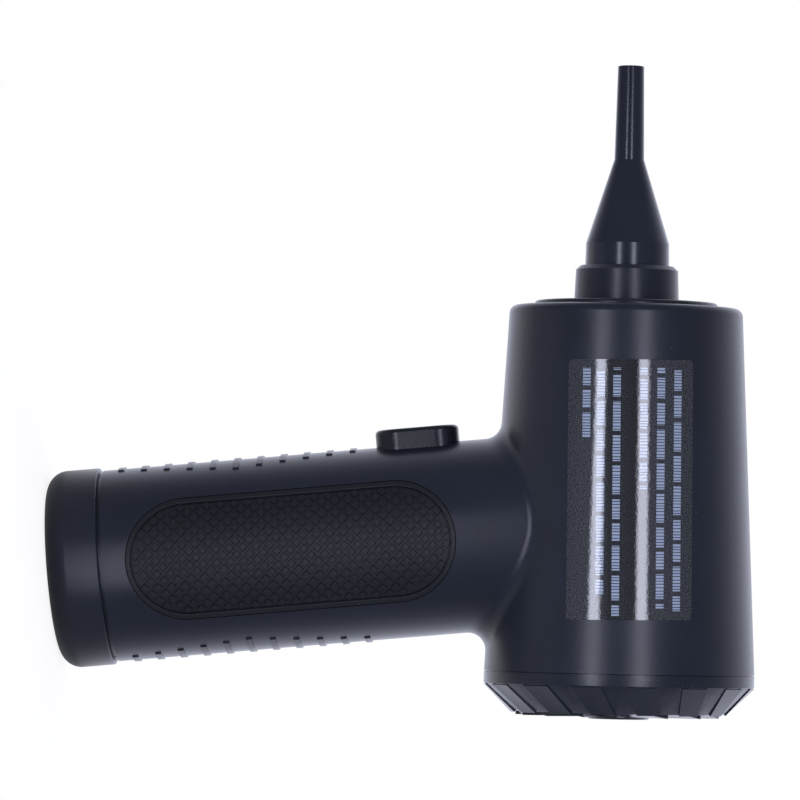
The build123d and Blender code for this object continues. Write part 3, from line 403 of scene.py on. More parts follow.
@dataclass(frozen=True)
class ClearPolymer(Finish):
    """Clear or milky polymer for the light and its pipe: light passes, with faint clouding.

    Cloud is the width of the clouding, and spread is how much roughness it adds.
    """

    colour: str
    roughness: float
    transmission: float
    cloud: float = 0.8
    spread: float = 0.15
    ior: float = 1.49

    def surface(self, tree: Tree, place: Socket) -> dict[str, object]:
        """Build the shader: transmission with a clouded gloss.

        Args:
            tree: Node tree of the material.
            place: Point on the piece.

        Returns:
            Inputs of the shader.
        """
        clouds = add_node(tree, "TexNoise", {"Vector": place, "Scale": 1 / (self.cloud * MM), "Detail": 2.0})
        gloss = add_node(
            tree,
            "MapRange",
            {"Value": clouds, "To Min": self.roughness, "To Max": self.roughness + self.spread},
        )
        return {
            "Base Color": self.colour,
            "Roughness": gloss,
            "Transmission Weight": self.transmission,
            "IOR": self.ior,
        }


@dataclass(frozen=True)
class PebbledFilm(Finish):
    """Clear adhesive film over the dark barrel: glossy, orange-peeled, with rows of plain pale blocks.

    The blocks say nothing. They stand where a printed notice would be. Each row is its middle's height
    over the film's lower edge and how far back it reaches; each row's words are staggered by its reach.
    Words and bars are their mean length, their unevenness and the share of a gap on each side. Speck and
    peel are the widths of the fine pebbling and of the orange peel under it. The pale specks are painted
    light that the film scatters. The last table gives how much of it shows at places from the lower edge,
    0, to the upper one, 1: a painted reflection that fades it where the film mirrors the dark room
    between the two strips.
    """

    coordinates: ClassVar[str] = "UV"
    ground: str = "#0E1014"
    # Colour of the pale specks: painted light that the film scatters
    painted_scatter: str = "#646872"
    ink: str = "#C3D2EC"
    row_height: float = 1.9
    rows: tuple = ((4.7, 18.8), (8.2, 56.0), (12.0, 61.2), (18.4, 31.0), (22.6, 59.4), (26.8, 59.9))
    length: float = 62.1
    width: float = 31.0
    margin: float = 2.0
    words: tuple = (7.0, 0.75, 0.075)
    bars: tuple = (0.72, 0.45, 0.15)
    stagger: float = 3.7
    speck: float = 1 / 3.4  # 0.29
    speck_depth: float = 0.006
    peel: float = 1 / 0.9  # 1.11
    peel_depth: float = 0.013
    # Painted reflection: how much painted scattered light shows across the film, least where the dark room
    # between the strips is mirrored
    painted_scatter_share: tuple = (
        (0.0, 0.85),
        (0.12, 1.0),
        (0.27, 0.9),
        (0.34, 0.25),
        (0.44, 0.5),
        (0.53, 0.05),
        (0.66, 0.7),
        (0.76, 0.9),
    )

    def surface(self, tree: Tree, place: Socket) -> dict[str, object]:
        """Build the shader on the film's own map, which is in millimetres.

        Args:
            tree: Node tree of the material.
            place: Point on the film, back from its nose edge and up from its lower one.

        Returns:
            Inputs of the shader.
        """
        split = add_node(tree, "SeparateXYZ", {"Vector": place})
        along, across = split.outputs[0], split.outputs[1]
        share = add_node(tree, "Math", {0: across, 1: self.width}, operation="DIVIDE")
        speck = add_node(
            tree, "TexNoise", {"Vector": place, "Scale": 1 / self.speck, "Detail": 2.0, "Roughness": 0.7}
        )
        peel = add_node(
            tree, "TexNoise", {"Vector": place, "Scale": 1 / self.peel, "Detail": 3.0, "Roughness": 0.6}
        )
        # Pale specks of painted scattered light, faded by a painted reflection across the film
        spots = add_node(tree, "ValToRGB", {"Fac": speck}, stops=((0.44, 0.0), (0.62, 1.0)))
        painted_scatter_share = add_node(tree, "ValToRGB", {"Fac": share}, stops=self.painted_scatter_share)
        painted_scatter_specks = add_node(tree, "Math", {0: spots, 1: painted_scatter_share}, operation="MULTIPLY")
        ground = add_node(tree, "Mix", {0: painted_scatter_specks, 6: self.ground, 7: self.painted_scatter}, data_type="RGBA")
        tint = add_node(
            tree, "Mix", {0: self.print_mask(tree, along, share), 6: ground, 7: self.ink}, data_type="RGBA"
        )
        peeled = add_node(tree, "Bump", {"Height": peel, "Distance": self.peel_depth * MM})
        relief = add_node(
            tree, "Bump", {"Height": speck, "Distance": self.speck_depth * MM, "Normal": peeled}
        )
        # The coat stands for both faces of the film, so its index is higher than one clear face has
        return {
            "Base Color": tint,
            "Roughness": 0.42,
            "Specular IOR Level": 0.25,
            "Normal": relief,
            "Coat Weight": 1.0,
            "Coat Roughness": 0.02,
            "Coat IOR": 1.8,
            "Coat Normal": relief,
        }

    def print_mask(self, tree: Tree, along: Socket, share: Node) -> Node:
        """Mask of the printed blocks.

        Args:
            tree: Node tree of the film.
            along: Distance back from the film's nose edge, in millimetres.
            share: Place across the film, from its lower edge, 0, to its upper one, 1.

        Returns:
            Node that gives 1 where there is ink.
        """
        stops = [(0.0, 0.0)]
        for middle, end in self.rows:
            stops.append(((middle - self.row_height / 2) / self.width, end / self.length))
            stops.append(((middle + self.row_height / 2) / self.width, 0.0))
        ends = add_node(tree, "ValToRGB", {"Fac": share}, stops=stops)
        ends.color_ramp.interpolation = "CONSTANT"
        reach = add_node(tree, "Math", {0: ends, 1: self.length}, operation="MULTIPLY")
        shifted = add_node(tree, "Math", {0: reach, 1: self.stagger, 2: along}, operation="MULTIPLY_ADD")
        before = add_node(tree, "Math", {0: along, 1: reach}, operation="LESS_THAN")
        after = add_node(tree, "Math", {0: along, 1: self.margin}, operation="GREATER_THAN")
        mask = add_node(tree, "Math", {0: before, 1: after}, operation="MULTIPLY")
        for length, uneven, gap in (self.words, self.bars):
            blocks = add_node(
                tree,
                "TexVoronoi",
                {"W": shifted, "Scale": 1 / length, "Randomness": uneven},
                voronoi_dimensions="1D",
                feature="DISTANCE_TO_EDGE",
            )
            inside = add_node(tree, "Math", {0: blocks, 1: gap}, operation="GREATER_THAN")
            mask = add_node(tree, "Math", {0: mask, 1: inside}, operation="MULTIPLY")
        return mask


@dataclass(frozen=True)
class OpenFoam(Finish):
    """Open-cell polyurethane foam: matt, with painted shade in the pores between pale struts.

    Cell is a pore's width, and depth is how far it sinks.
    """

    colour: str = "#3A3B3F"
    painted_pore_shade: str = "#101113"
    cell: float = 0.9
    depth: float = 0.4

    def surface(self, tree: Tree, place: Socket) -> dict[str, object]:
        """Build the shader: pores sink and get painted shade.

        Args:
            tree: Node tree of the material.
            place: Point on the piece.

        Returns:
            Inputs of the shader.
        """
        cells = add_node(
            tree, "TexVoronoi", {"Vector": place, "Scale": 1 / (self.cell * MM)}, feature="DISTANCE_TO_EDGE"
        )
        # The pores' dark colour is painted shade in the holes
        tint = add_node(tree, "ValToRGB", {"Fac": cells}, stops=((0.06, self.colour), (0.3, self.painted_pore_shade)))
        relief = add_node(tree, "Bump", {"Height": cells, "Distance": self.depth * MM}, invert=True)
        return {
            "Base Color": tint,
            "Roughness": 0.95,
            "Normal": relief,
            "Specular IOR Level": 0.2,
            "Sheen Weight": 0.3,
        }


@dataclass(frozen=True)
class Palette:
    """Every finish on the blower, each named for what the real material is."""

    # Bluish-black ABS with a fine spark-eroded grain: soft, slightly sparkling highlights
    body: Finish = MouldedPlastic("body_abs", "grained_black_abs", "#2C323F", "#292E3A", 0.31, dust=True)
    # The same ABS from another mould, a little smoother: its facets' edges catch crisper light
    cover: Finish = MouldedPlastic(
        "cover_abs", "smooth_black_abs", "#2B313D", "#272C38", 0.27, relief=0.003, dust=True
    )
    # ABS with a coarser grain, which breaks up the button's highlight
    button: Finish = MouldedPlastic(
        "button_abs", "coarse_grained_black_abs", "#222732", "#1E222B", 0.27, 0.5, 0.007
    )
    # Polypropylene from a polished mould: crisp lines of light
    nozzle: Finish = MouldedPlastic(
        "nozzle_plastic", "polished_black_polypropylene", "#303645", "#2D3240", 0.2, 0.6, 0.0015
    )
    # Nitrile rubber: dull, with a bloom
    seal: Finish = MouldedPlastic(
        "seal_rubber", "nitrile_rubber", "#1A1A1B", "#141415", 0.6, 0.3, 0.003, sheen=0.2
    )
    # Thermoplastic rubber skin: matt, with caught dust
    grip: Finish = MouldedPlastic(
        "grip_rubber", "thermoplastic_rubber", "#22252D", "#1E2128", 0.54, 0.35, 0.002, dust=True
    )
    # Clear film with print under it: torn highlights over pale rows, and painted scattered light in its
    # specks
    film: Finish = PebbledFilm("label_film", "pebbled_clear_film")
    # Carbon steel, black oxide: dark with worn glints
    screw: Finish = WorkedMetal("screw_steel", "black_oxide_steel", "#3A3A3D", "#222225", 0.42)
    # Stainless strip drawn into the socket's shell: bright, with fine lines
    socket: Finish = WorkedMetal(
        "socket_steel", "drawn_stainless_steel", "#C9C9CC", "#ABABAF", 0.28, Working.DRAWN
    )
    # Moulded glass-filled nylon and epoxy packages: dull black
    resin: Finish = MouldedPlastic(
        "black_resin", "glass_filled_nylon", "#1C1C1E", "#151517", 0.45, 0.2, 0.004
    )
    # Coated glass-fibre board: glossy green with tinned pads
    board: Finish = SolderMask("circuit_board", "green_solder_mask")
    # Cast epoxy dome of the light, switched off: milky yellow
    light: Finish = ClearPolymer("light_resin", "milky_epoxy", "#EAE6B8", 0.25, 0.3)
    # Clear acrylic rod with ground ends: nearly glassy
    pipe: Finish = ClearPolymer("light_pipe", "clear_acrylic", "#EEF2F4", 0.08, 0.9)
    # Extruded silicone over wire: even colour, soft gloss
    wire_black: Finish = MouldedPlastic(
        "wire_black", "black_silicone_rubber", "#1B1B1C", "#131314", 0.45, 0.5, 0.003
    )
    wire_red: Finish = MouldedPlastic(
        "wire_red", "red_silicone_rubber", "#A81E1A", "#8E1714", 0.45, 0.5, 0.003
    )
    wire_blue: Finish = MouldedPlastic(
        "wire_blue", "blue_silicone_rubber", "#24478E", "#1D3B78", 0.45, 0.5, 0.003
    )
    # Plain moulded ABS of the inner pieces: duller than the outside
    inner: Finish = MouldedPlastic(
        "inner_plastic", "plain_black_abs", "#2A2A2D", "#222225", 0.5, 0.6, 0.005
    )
    # Rolled nickel strip: warm grey, with fine lines
    nickel: Finish = WorkedMetal("nickel", "rolled_nickel", "#D2CBBF", "#B9B2A6", 0.3, Working.DRAWN)
    # Aluminium can, drawn: pale, with fine lines
    can: Finish = WorkedMetal("capacitor_can", "drawn_aluminium", "#DADADD", "#C2C2C6", 0.3, Working.DRAWN)
    # Gold-plated brass pins: warm and bright
    pin: Finish = WorkedMetal("pin_brass", "plated_brass", "#D9B867", "#C2A052", 0.22, Working.DRAWN)
    # Five-axis machined aluminium: fine tool marks
    impeller: Finish = WorkedMetal(
        "impeller_alloy", "machined_aluminium", "#D4D4D8", "#B4B4B9", 0.26, Working.TURNED
    )
    # Ground and polished shaft steel: a sharp line of light
    shaft: Finish = WorkedMetal(
        "shaft_steel", "ground_bearing_steel", "#C6C6CA", "#B0B0B4", 0.16, Working.TURNED
    )
    # Nickel-plated magnet: grey and even
    magnet: Finish = WorkedMetal("magnet", "plated_magnet", "#9C9DA0", "#85868A", 0.3)
    # Stacked silicon steel sheets, 0.5 mm each: grey edges with dark lines between them
    stator: Finish = LayeredMetal("stator_steel", "silicon_steel_sheets", "#8F9093", "#3A3A3C", 0.5, 0.4)
    # Enamelled copper wire, 0.6 mm, laid in turns: glossy brown ridges, with painted shade between the turns
    winding: Finish = LayeredMetal(
        "winding_copper", "enamelled_copper_wire", "#B5622E", "#4A2210", 0.6, 0.25, 0.85
    )
    # Aluminium motor can, turned and clear anodised: satin rings
    motor: Finish = WorkedMetal("motor_alloy", "turned_aluminium", "#C4C5C9", "#A6A7AB", 0.34, Working.TURNED)
    # Heat-shrunk PVC sleeve: glossy with a faint orange peel
    cell: Finish = MouldedPlastic("cell_wrap", "shrunk_pvc_sleeve", "#0E6C86", "#0B5A72", 0.25, 1.2, 0.01)
    # Blackened stainless wire: dark grey, with dull glints
    mesh: Finish = WorkedMetal("mesh_steel", "blackened_steel_wire", "#55565A", "#333438", 0.4, grain=0.15)
    # Cut open-cell foam: no gloss, small pores with painted shade
    foam: Finish = OpenFoam("filter_foam", "open_cell_foam")

    def by_slot(self) -> dict[str, Finish]:
        """Each finish under the slot that it belongs to."""
        return {finish.slot: finish for finish in vars(self).values()}


# ---------------------------------------------------------------- places taken from the frame


@dataclass(frozen=True)
class Barrel:
    """The barrel's own line and cone, in millimetres along it from where the two axes cross."""

    rear: float = -36.1
    rear_radius: float = 32.75
    front: float = 52.55
    front_radius: float = 28.2

    @staticmethod
    def joint() -> dict:
        """The spin joint, whose axis is the barrel's."""
        return next(joint for joint in frame["joints"] if joint["name"] == "rotor_spin")

    @classmethod
    def pitch(cls) -> float:
        """Angle in radians by which the barrel points up."""
        axis = cls.joint()["axis"]
        return math.atan2(axis[2], axis[0])

    @classmethod
    def frame(cls) -> Matrix:
        """Matrix from the barrel's frame, Z forward and Y to the left, to the blower's."""
        turn = Matrix.Rotation(math.pi / 2 - cls.pitch(), 4, "Y")
        return Matrix.Translation(cls.joint()["pos_m"]) @ turn

    @classmethod
    def radius(cls, at: float) -> float:
        """Radius of the cone at a place along the axis."""
        share = (at - cls.rear) / (cls.front - cls.rear)
        return cls.rear_radius + share * (cls.front_radius - cls.rear_radius)

    @classmethod
    def stand_across(cls, bm: bmesh.types.BMesh, along: float) -> None:
        """Scale a flat shape from millimetres to metres and stand it across the barrel.

        Args:
            bm: The shape, flat about its own middle.
            along: Where it stands along the barrel, in millimetres.
        """
        bmesh.ops.scale(bm, vec=(MM, MM, MM), verts=bm.verts)
        place = cls.frame() @ Matrix.Translation((0, 0, along * MM))
        bmesh.ops.transform(bm, matrix=place, verts=bm.verts)


def disc_of(node: str) -> tuple[float, float]:
    """Read a disc that stands across the barrel from its node's box.

    Args:
        node: Name of the CAD node.

    Returns:
        Radius of the disc and its place along the barrel, in millimetres.
    """
    low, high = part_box(node)
    local = Barrel.frame().inverted() @ ((low + high) / 2)
    return (high.y - low.y) / 2 / MM, local.z / MM


# ---------------------------------------------------------------- grip


@dataclass
class GripPad:
    """Rubber skin let into one side of the grip: smooth border, groove, and rows of raised squares.

    Sizes are in millimetres. Skin is the grip's radius, and heights count from it: proud for the border
    and the squares, floor for the field between them, depth for the back. Edge is the rounding of the
    rim; lip, draft and cut shape the groove's upper edge, slanted walls and bottom; core is half the
    slot that the rings leave in the middle. Squares start root below the floor, narrow by taper up to
    the shoulder, and end in a chamfer; spare is the share of half their diagonal that clears the groove.
    """

    node: str
    side: int
    finish: Finish
    length: float = 79.56
    width: float = 29.16
    skin: float = 23.25
    proud: float = 0.05
    depth: float = 0.85
    edge: float = 0.12
    border: float = 1.15
    groove: float = 0.45
    lip: float = 0.1
    draft: float = 0.08
    cut: float = 0.25
    floor: float = -0.36
    core: float = 0.4
    square: float = 1.74
    pitch: float = 3.25
    taper: float = 0.86
    root: float = 0.1
    shoulder: float = 0.05
    chamfer: float = 0.07
    spare: float = 0.45
    smooth: float = 22.0
    segments: int = 64
    rings: int = 6

    def ring(self, bm: bmesh.types.BMesh, inset: float, lift: float, top: bool = True) -> None:
        """Add one ring inside the pad's round-ended face and set the face's new height.

        Args:
            bm: Mesh of the pad.
            inset: Distance of the ring from the pad's outer edge.
            lift: Height of the face over the grip's skin.
            top: Whether the front face gets the ring, or else the back one.
        """
        ends = sorted((f for f in bm.faces if len(f.verts) == self.segments), key=lambda f: f.verts[0].co.z)
        face = ends[-1] if top else ends[0]
        # Any small inset will do here, because its points are placed next
        bmesh.ops.inset_region(bm, faces=[face], thickness=0.01)
        reach = (self.length - self.width) / 2
        for vert in face.verts:
            middle = Vector((math.copysign(reach, vert.co.x), 0.0, lift))
            spoke = Vector((vert.co.x - middle.x, vert.co.y, 0.0)).normalized()
            vert.co = middle + (self.width / 2 - inset) * spoke

    def sheet(self, bm: bmesh.types.BMesh) -> None:
        """Make the pad's body in its flat outline: back, edge, border, groove and field.

        Args:
            bm: Empty mesh that gets the body.
        """
        turn = Matrix.Rotation(math.pi / self.segments, 4, "Z")
        made = bmesh.ops.create_circle(
            bm, cap_ends=True, segments=self.segments, radius=self.width / 2, matrix=turn
        )
        reach = (self.length - self.width) / 2
        for vert in made["verts"]:
            vert.co.x += math.copysign(reach, vert.co.x)
            vert.co.z = -self.depth
        raised = bmesh.ops.extrude_face_region(bm, geom=bm.faces[:])["geom"]
        for part in raised:
            if isinstance(part, bmesh.types.BMVert):
                part.co.z = self.proud - self.edge
        inner = self.border + self.groove
        bottom = self.floor - self.cut
        self.ring(bm, self.edge, self.proud)
        self.ring(bm, self.border - self.lip, self.proud)
        self.ring(bm, self.border, self.proud - self.draft)
        self.ring(bm, self.border + self.draft, bottom)
        self.ring(bm, inner - self.draft, bottom)
        self.ring(bm, inner, self.floor)
        for step in range(1, self.rings + 1):
            inset = inner + step * (self.width / 2 - self.core - inner) / self.rings
            self.ring(bm, inset, self.floor)
            self.ring(bm, inset, -self.depth, top=False)

    def squares(self, bm: bmesh.types.BMesh) -> None:
        """Add the raised squares, still flat, corner to corner where they clear the groove.

        Args:
            bm: Mesh that gets the squares.
        """
        half = self.square / math.sqrt(2)
        reach = (self.length - self.width) / 2
        room = self.width / 2 - self.border - self.groove
        steps = int(self.length / self.pitch)
        for i in range(-steps, steps + 1):
            for j in range(-steps, steps + 1):
                x, y = i * self.pitch / 2, j * self.pitch / 2
                end = max(abs(x) - reach, 0.0)
                out = math.hypot(end, self.skin * math.sin(y / self.skin))
                if (i + j) % 2 or out + half * self.spare > room:
                    continue
                place = Matrix.Translation((x, y, self.floor - self.root))
                made = bmesh.ops.create_circle(bm, cap_ends=True, segments=4, radius=half, matrix=place)
                base = made["verts"][0].link_faces[0]
                top = bmesh.ops.extrude_discrete_faces(bm, faces=[base])["faces"][0]
                for vert in top.verts:
                    vert.co.x = x + (vert.co.x - x) * self.taper
                    vert.co.y = y + (vert.co.y - y) * self.taper
                    vert.co.z = self.proud - self.shoulder
                bmesh.ops.inset_region(bm, faces=[top], thickness=self.chamfer, use_even_offset=True)
                for vert in top.verts:
                    vert.co.z = self.proud

    def roll(self, verts: set[bmesh.types.BMVert], chord: bool) -> None:
        """Roll flat points round the grip, up its height and on to its side.

        Args:
            verts: The points to move.
            chord: Whether their width is measured straight across, or else along the skin.
        """
        low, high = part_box(self.node)
        middle = (low.z + high.z) / 2
        for vert in verts:
            turn = math.asin(vert.co.y / self.skin) if chord else vert.co.y / self.skin
            out = (self.skin + vert.co.z) * MM
            up = middle + vert.co.x * MM
            vert.co = Vector((out * math.sin(turn), self.side * out * math.cos(turn), up))

    def build(self) -> bpy.types.Object:
        """Build the pad and let it stand for the CAD's plain one.

        Returns:
            The pad, on the housing.
        """
        bm = bmesh.new()
        self.sheet(bm)
        body = set(bm.verts)
        self.roll(body, chord=True)
        self.squares(bm)
        self.roll(set(bm.verts) - body, chord=False)
        pad = finished(bm, f"{self.node}_knurled", Body.HOUSING, self.finish, self.smooth)
        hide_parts(self.node)
        return pad


# ---------------------------------------------------------------- label


@dataclass
class LabelSheet:
    """Clear film on the barrel's left flank, a little proud of it.

    Sizes are in millimetres: how far its front edge stands behind the barrel's, how far its middle stands
    over the flank's, its height over the shells, thickness and rounded corners. Skew is in degrees.
    """

    finish: PebbledFilm
    node: str = "label_film"
    nose_setback: float = 13.65
    rise: float = 2.65
    skew: float = 0.72
    lift: float = 0.05
    thickness: float = 0.16
    corner: float = 0.9

    def build(self) -> bpy.types.Object:
        """Cut the film flat, round its corners, give it its thickness and lay it on the cone.

        Returns:
            The film, on the housing, with its own map in millimetres.
        """
        bm = bmesh.new()
        length, width = self.finish.length, self.finish.width
        bmesh.ops.create_grid(bm, x_segments=round(length), y_segments=round(width), size=0.5)
        bmesh.ops.scale(bm, vec=(length, width, 1.0), verts=bm.verts)
        corners = [vert for vert in bm.verts if len(vert.link_edges) == 2]
        bmesh.ops.bevel(
            bm, geom=corners, offset=self.corner, segments=4, affect="VERTICES", profile=0.5, material=-1
        )
        layer = bm.loops.layers.uv.new("film")
        for face in bm.faces:
            for loop in face.loops:
                loop[layer].uv = (length / 2 - loop.vert.co.x, loop.vert.co.y + width / 2)
        bmesh.ops.solidify(bm, geom=bm.faces[:], thickness=-self.thickness)
        middle = Barrel.front - self.nose_setback - length / 2
        place = Barrel.frame()
        skew = math.radians(self.skew)
        for vert in bm.verts:
            along = middle + vert.co.x * math.cos(skew) + vert.co.y * math.sin(skew)
            across = vert.co.y * math.cos(skew) - vert.co.x * math.sin(skew)
            turn = (across + self.rise) / Barrel.radius(along)
            out = (Barrel.radius(along) + self.lift + abs(vert.co.z)) * MM
            vert.co = place @ Vector((-out * math.sin(turn), out * math.cos(turn), along * MM))
        film = finished(bm, "label_film_printed", Body.HOUSING, self.finish)
        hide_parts(self.node)
        return film


# ---------------------------------------------------------------- intake


@dataclass
class IntakeCover:
    """Twist-off cover over the fan's intake: its moulded edges are rounded to catch the light.

    Sizes are in millimetres and angles in degrees. Edge is the rounding of every edge sharper than sharp.
    The rim's land stands in from the barrel by land; its lip grows forward by rim_lip, over a groove that
    is rim_groove deep. Near is how close a point counts as on a place, weld how close two are one, and
    flat the angle under which two faces are joined.
    """

    finish: Finish
    node: str = "intake_cover"
    edge: float = 0.2
    sharp: float = 24.0
    rim_lip: float = 0.2
    rim_groove: float = 0.95
    land: float = 0.45
    near: float = 0.1
    weld: float = 0.002
    flat: float = 0.6
    smooth: float = 20.0

    def close_seam(self, bm: bmesh.types.BMesh) -> float:
        """Narrow and deepen the gap between the rim and the shells, so that it reads as a dark line.

        Args:
            bm: Copy of the CAD cover, in the barrel's frame and in millimetres.

        Returns:
            Where the rim ends along the barrel, before the lip.
        """
        rim = max(v.co.z for v in bm.verts if v.co.xy.length > Barrel.rear_radius - self.land / 2)
        inside = Barrel.rear_radius - self.land
        for vert in bm.verts:
            out = vert.co.xy.length
            if abs(out - inside) < self.near and vert.co.z > rim - self.near:
                vert.co.xy *= (Barrel.rear_radius - self.rim_groove) / out
            if out > inside - self.near and abs(vert.co.z - rim) < self.near:
                vert.co.z += self.rim_lip
        return rim

    def build(self) -> bpy.types.Object:
        """Copy the CAD cover, join its faces, close its seam and round its sharp edges.

        Returns:
            The cover, on its own body.
        """
        bm = bmesh.new()
        bm.from_mesh(frame["nodes"][self.node].data)
        bmesh.ops.remove_doubles(bm, verts=bm.verts, dist=self.weld * MM)
        bmesh.ops.dissolve_limit(bm, angle_limit=math.radians(self.flat), verts=bm.verts, edges=bm.edges)
        upright = Matrix.Scale(1 / MM, 4) @ Barrel.frame().inverted()
        bmesh.ops.transform(bm, matrix=upright, verts=bm.verts)
        rim = self.close_seam(bm)
        bmesh.ops.transform(bm, matrix=upright.inverted(), verts=bm.verts)
        # Short edges, and those at the rim's seam, stay as they are
        edges = [
            edge
            for edge in bm.edges
            if len(edge.link_faces) == 2
            and edge.calc_face_angle(0.0) > math.radians(self.sharp)
            and edge.calc_length() > 3 * self.edge * MM
            and (upright @ edge.verts[0].co).z < rim - 2 * self.edge
        ]
        bmesh.ops.bevel(
            bm,
            geom=edges,
            offset=self.edge * MM,
            segments=2,
            affect="EDGES",
            profile=0.5,
            material=-1,
            clamp_overlap=True,
        )
        cover = finished(bm, "intake_cover_rounded", Body.COVER, self.finish, self.smooth)
        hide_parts(self.node)
        return cover


@dataclass
class WireScreen:
    """Woven wire screen in front of the filter foam.

    Sizes are in millimetres: from wire to wire, the wire's thickness, and how far it waves up and down.
    """

    finish: Finish
    node: str = "filter_mesh"
    pitch: float = 1.5
    wire: float = 0.32
    weave: float = 0.07

    def build(self) -> bpy.types.Object:
        """Cut a grid to the disc, lift every other crossing and turn its lines into wire.

        Returns:
            The screen, on the cover.
        """
        radius, middle = disc_of(self.node)
        bm = bmesh.new()
        count = int(2 * radius / self.pitch)
        bmesh.ops.create_grid(bm, x_segments=count, y_segments=count, size=radius)
        outside = [vert for vert in bm.verts if math.hypot(vert.co.x, vert.co.y) > radius - self.wire]
        bmesh.ops.delete(bm, geom=outside, context="VERTS")
        for vert in bm.verts:
            crossing = round(vert.co.x / self.pitch) + round(vert.co.y / self.pitch)
            vert.co.z = self.weave if crossing % 2 else -self.weave
        bmesh.ops.wireframe(
            bm, faces=bm.faces[:], thickness=self.wire / 2, use_replace=True, use_boundary=True
        )
        Barrel.stand_across(bm, middle)
        screen = finished(bm, "filter_screen", Body.COVER, self.finish)
        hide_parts(self.node)
        return screen


@dataclass
class FoamDisc:
    """Disc of filter foam with an uneven, slightly crowned face.

    Sizes are in millimetres. Play is the disc's gap in its frame, insets are the steps from ring to ring,
    and rim the width that counts as its edge. Uneven is the height of its bumps and bumps their number
    in a millimetre. The rim and the face are thinned to their shares of the thickness.
    """

    finish: Finish
    node: str = "filter_foam"
    thickness: float = 3.8
    play: float = 0.15
    insets: tuple = (0.28, 0.7, 2.1, 3.5, 4.9)
    rim: float = 0.4
    uneven: float = 0.12
    bumps: float = 0.6
    rim_share: float = 0.9
    face_share: float = 0.97
    smooth: float = 60.0

    def build(self) -> bpy.types.Object:
        """Cut a disc in rings, thicken it and roughen its faces.

        Returns:
            The disc, on the cover.
        """
        radius, middle = disc_of(self.node)
        bm = bmesh.new()
        bmesh.ops.create_circle(bm, cap_ends=True, segments=72, radius=radius - self.play)
        for inset in self.insets:
            face = max(bm.faces, key=lambda f: len(f.verts))
            bmesh.ops.inset_region(bm, faces=[face], thickness=inset, use_even_offset=True)
        bmesh.ops.solidify(bm, geom=bm.faces[:], thickness=self.thickness)
        centre = sum((vert.co.z for vert in bm.verts), 0.0) / len(bm.verts)
        for vert in bm.verts:
            on_rim = math.hypot(vert.co.x, vert.co.y) > radius - self.rim
            vert.co.z -= centre
            bump = self.uneven * noise.noise(vert.co * self.bumps)
            vert.co.z = vert.co.z * (self.rim_share if on_rim else self.face_share) + bump
        Barrel.stand_across(bm, middle)
        disc = finished(bm, "filter_foam_disc", Body.COVER, self.finish, self.smooth)
        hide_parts(self.node)
        return disc


# ---------------------------------------------------------------- studio


@dataclass
class SoftStrip:
    """Narrow soft box that runs along the barrel, in front of its left flank.

    Sizes are in metres: distance from the barrel's axis, and setback towards its rear. Turn is the
    strip's angle above the flank, and spread the angle that its grid lets through, in degrees.
    """

    name: str
    turn: float
    width: float = 0.056
    length: float = 0.33
    distance: float = 0.36
    setback: float = 0.02
    radiance: float = 7.6
    spread: float = 90.0

    def build(self) -> bpy.types.Object:
        """Hang the strip at its angle about the barrel's axis, facing it.

        Returns:
            The lamp.
        """
        lamp = bpy.data.lights.new(self.name, "AREA")
        lamp.shape = "RECTANGLE"
        lamp.size, lamp.size_y = self.length, self.width
        # A grid over the box narrows its light; its power is cut so that the middle stays as bright
        half = math.radians(self.spread) / 2
        lamp.spread = 2 * half
        lamp.energy = self.radiance * math.pi * self.width * self.length * (1 - half / math.tan(half))
        lamp.color = linear(DAYLIGHT)[:3]
        strip = bpy.data.objects.new(self.name, lamp)
        bpy.context.scene.collection.objects.link(strip)
        place = Barrel.frame()
        angle = math.radians(self.turn)
        out = place.to_3x3() @ Vector((-math.sin(angle), math.cos(angle), 0.0))
        along = place.to_3x3() @ Vector((0.0, 0.0, 1.0))
        facing = Matrix((along, out.cross(along), out)).transposed().to_4x4()
        centre = place.translation + self.distance * out - self.setback * along
        strip.matrix_world = Matrix.Translation(centre) @ facing
        return strip


